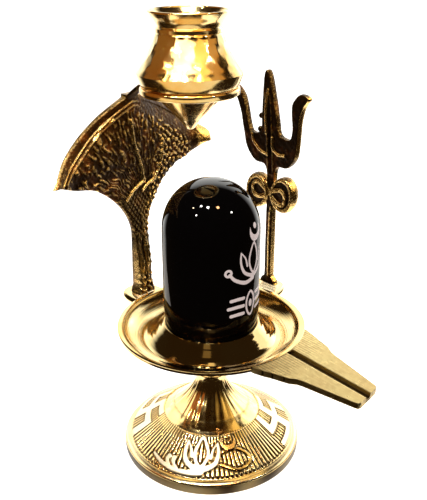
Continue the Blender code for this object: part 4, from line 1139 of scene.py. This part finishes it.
def aim(obj, place, direction):
    """Puts a lamp or a camera at a place, looking in a direction."""
    obj.location = place
    obj.rotation_mode = "QUATERNION"
    obj.rotation_quaternion = direction.to_track_quat("-Z", "Y")


def make_softbox(name, place, target, size, glow, colour):
    """A rectangular lamp that glows this strongly, whatever its size."""
    data = bpy.data.lights.new(name, "AREA")
    data.shape = "RECTANGLE"
    data.size, data.size_y = size
    data.energy = glow * math.pi * size[0] * size[1]
    data.color = colour
    light = new_object(name, data)
    aim(light, place, Vector(target) - Vector(place))
    return light


def group(name, *pieces):
    """A collection of the pieces that a lamp lights."""
    collection = bpy.data.collections.new(name)
    for piece in pieces:
        collection.objects.link(piece)
    return collection


def make_lights(foot, dish, stone, ring, cast, pot, floor):
    """Lamps by their turn from towards the camera and their rise, both seen from the middle."""
    middle = stage_place(0.0, 0.0, 0.09)
    but_dish = group("but_dish", foot, stone, ring, pot, floor, *cast)
    but_both = group("but_both", foot, ring, pot, floor, *cast)
    but_stone = group("but_stone", foot, dish, ring, pot, floor, *cast)
    floor.light_linking.receiver_collection = but_stone
    foot_only = group("foot_only", foot)
    dish_only = group("dish_only", dish)
    pot_only = group("pot_only", pot, ring)
    cast_only = group("cast_only", *cast)
    spot = (0.045, 0.045)
    small = (0.03, 0.03)
    for name, turn, rise, far, size, glow, colour, lit in (
        ("lamp_left", -45.0, 60.0, 0.8, spot, 200.0, (1.0, 0.97, 0.9), but_dish),
        ("lamp_middle", -14.0, 62.0, 0.8, (0.055, 0.055), 200.0, (1.0, 0.98, 0.94), but_dish),
        ("lamp_right", 30.0, 60.0, 0.8, (0.07, 0.07), 60.0, (1.0, 0.5, 0.2), but_dish),
        ("lamp_low_left", -43.0, 38.0, 0.8, small, 200.0, (1.0, 0.95, 0.85), but_dish),
        ("lamp_low_right", 64.0, 38.0, 0.8, small, 200.0, (1.0, 0.97, 0.9), but_dish),
        ("lamp_far_left", -66.0, 48.0, 0.8, small, 100.0, (1.0, 0.8, 0.5), but_dish),
        ("side_right", 130.0, 15.5, 0.49, (0.36, 0.3), 1.3, (1.0, 1.0, 1.0), but_stone),
        ("overhead", 0.0, 82.0, 0.82, (0.35, 0.35), 5.0, (1.0, 1.0, 1.0), but_both),
        ("foot_left", -116.0, 22.0, 0.5, (0.42, 0.32), 1.8, (1.0, 0.97, 0.85), foot_only),
        ("foot_right", 112.0, 22.0, 0.5, (0.4, 0.3), 1.6, (1.0, 0.97, 0.85), foot_only),
        ("dish_streak", 0.0, 88.0, 0.8, (0.08, 0.3), 1.0, (1.0, 0.85, 0.6), dish_only),
        ("dish_front", -12.0, 50.0, 0.7, (0.14, 0.3), 0.16, (1.0, 0.72, 0.35), dish_only),
        ("foot_amber", -70.0, 30.0, 0.5, (0.25, 0.3), 0.35, (1.0, 0.35, 0.1), foot_only),
        ("pot_white", -17.0, 41.0, 0.8, (0.72, 0.55), 3.2, (1.0, 0.97, 0.88), pot_only),
        ("pot_amber", 38.0, 41.0, 0.8, (0.42, 0.55), 1.7, (1.0, 0.68, 0.25), pot_only),
        ("pot_fill", -85.0, 20.0, 0.6, (0.7, 0.6), 0.22, (1.0, 0.45, 0.12), pot_only),
        ("pot_tan", 78.0, 35.0, 0.7, (0.34, 0.5), 0.6, (1.0, 0.55, 0.18), pot_only),
        ("pot_low", 0.0, -29.0, 0.184, (0.9, 0.2), 1.0, (1.0, 0.92, 0.75), pot_only),
        ("cast_right", 88.0, 30.0, 0.6, (0.35, 0.35), 4.5, (1.0, 0.8, 0.45), cast_only),
        ("cast_left", -88.0, 30.0, 0.6, (0.3, 0.3), 1.8, (1.0, 0.85, 0.6), cast_only),
    ):
        a, e = math.radians(turn), math.radians(rise)
        place = stage_place(-math.cos(e) * math.cos(a), math.cos(e) * math.sin(a), math.sin(e)) * far
        lamp = make_softbox(name, middle + place, middle, size, glow, colour)
        lamp.light_linking.receiver_collection = lit


def make_world():
    """A white sweep behind the object and a dim warm room in front of it."""
    world = bpy.data.worlds.new("studio")
    bpy.context.scene.world = world
    world.use_nodes = True
    tree = world.node_tree
    background = tree.nodes["Background"]
    direction = add(tree, "TexCoord").outputs["Generated"]
    ahead = add(tree, "VectorMath", {"operation": "DOT_PRODUCT"}, i0=direction, i1=tuple(VIEW_AHEAD))
    share = rescale(tree, ahead.outputs["Value"], 0.55, 0.78)
    colour = blend_colours(tree, share, DIM_ROOM, WHITE_SWEEP)
    seen = add(tree, "LightPath").outputs["Is Camera Ray"]
    colour = blend_colours(tree, seen, colour, (1.2, 1.2, 1.2, 1.0))
    tree.links.new(colour, background.inputs["Color"])


def make_camera():
    data = bpy.data.cameras.new("camera")
    data.lens = LENS
    data.sensor_width = SENSOR
    data.clip_start = 0.01
    camera = new_object("camera", data)
    aim(camera, EYE, VIEW)
    bpy.context.scene.camera = camera
    bpy.context.scene.view_settings.view_transform = "Standard"


foot = make_foot()
dish = make_dish()
stone = make_stone()
ring = make_ring()
cast = [make_hood(), make_arm(), make_trident()]
pot = make_pot()
floor = make_floor()
make_world()
make_lights(foot, dish, stone, ring, cast, pot, floor)
make_camera()
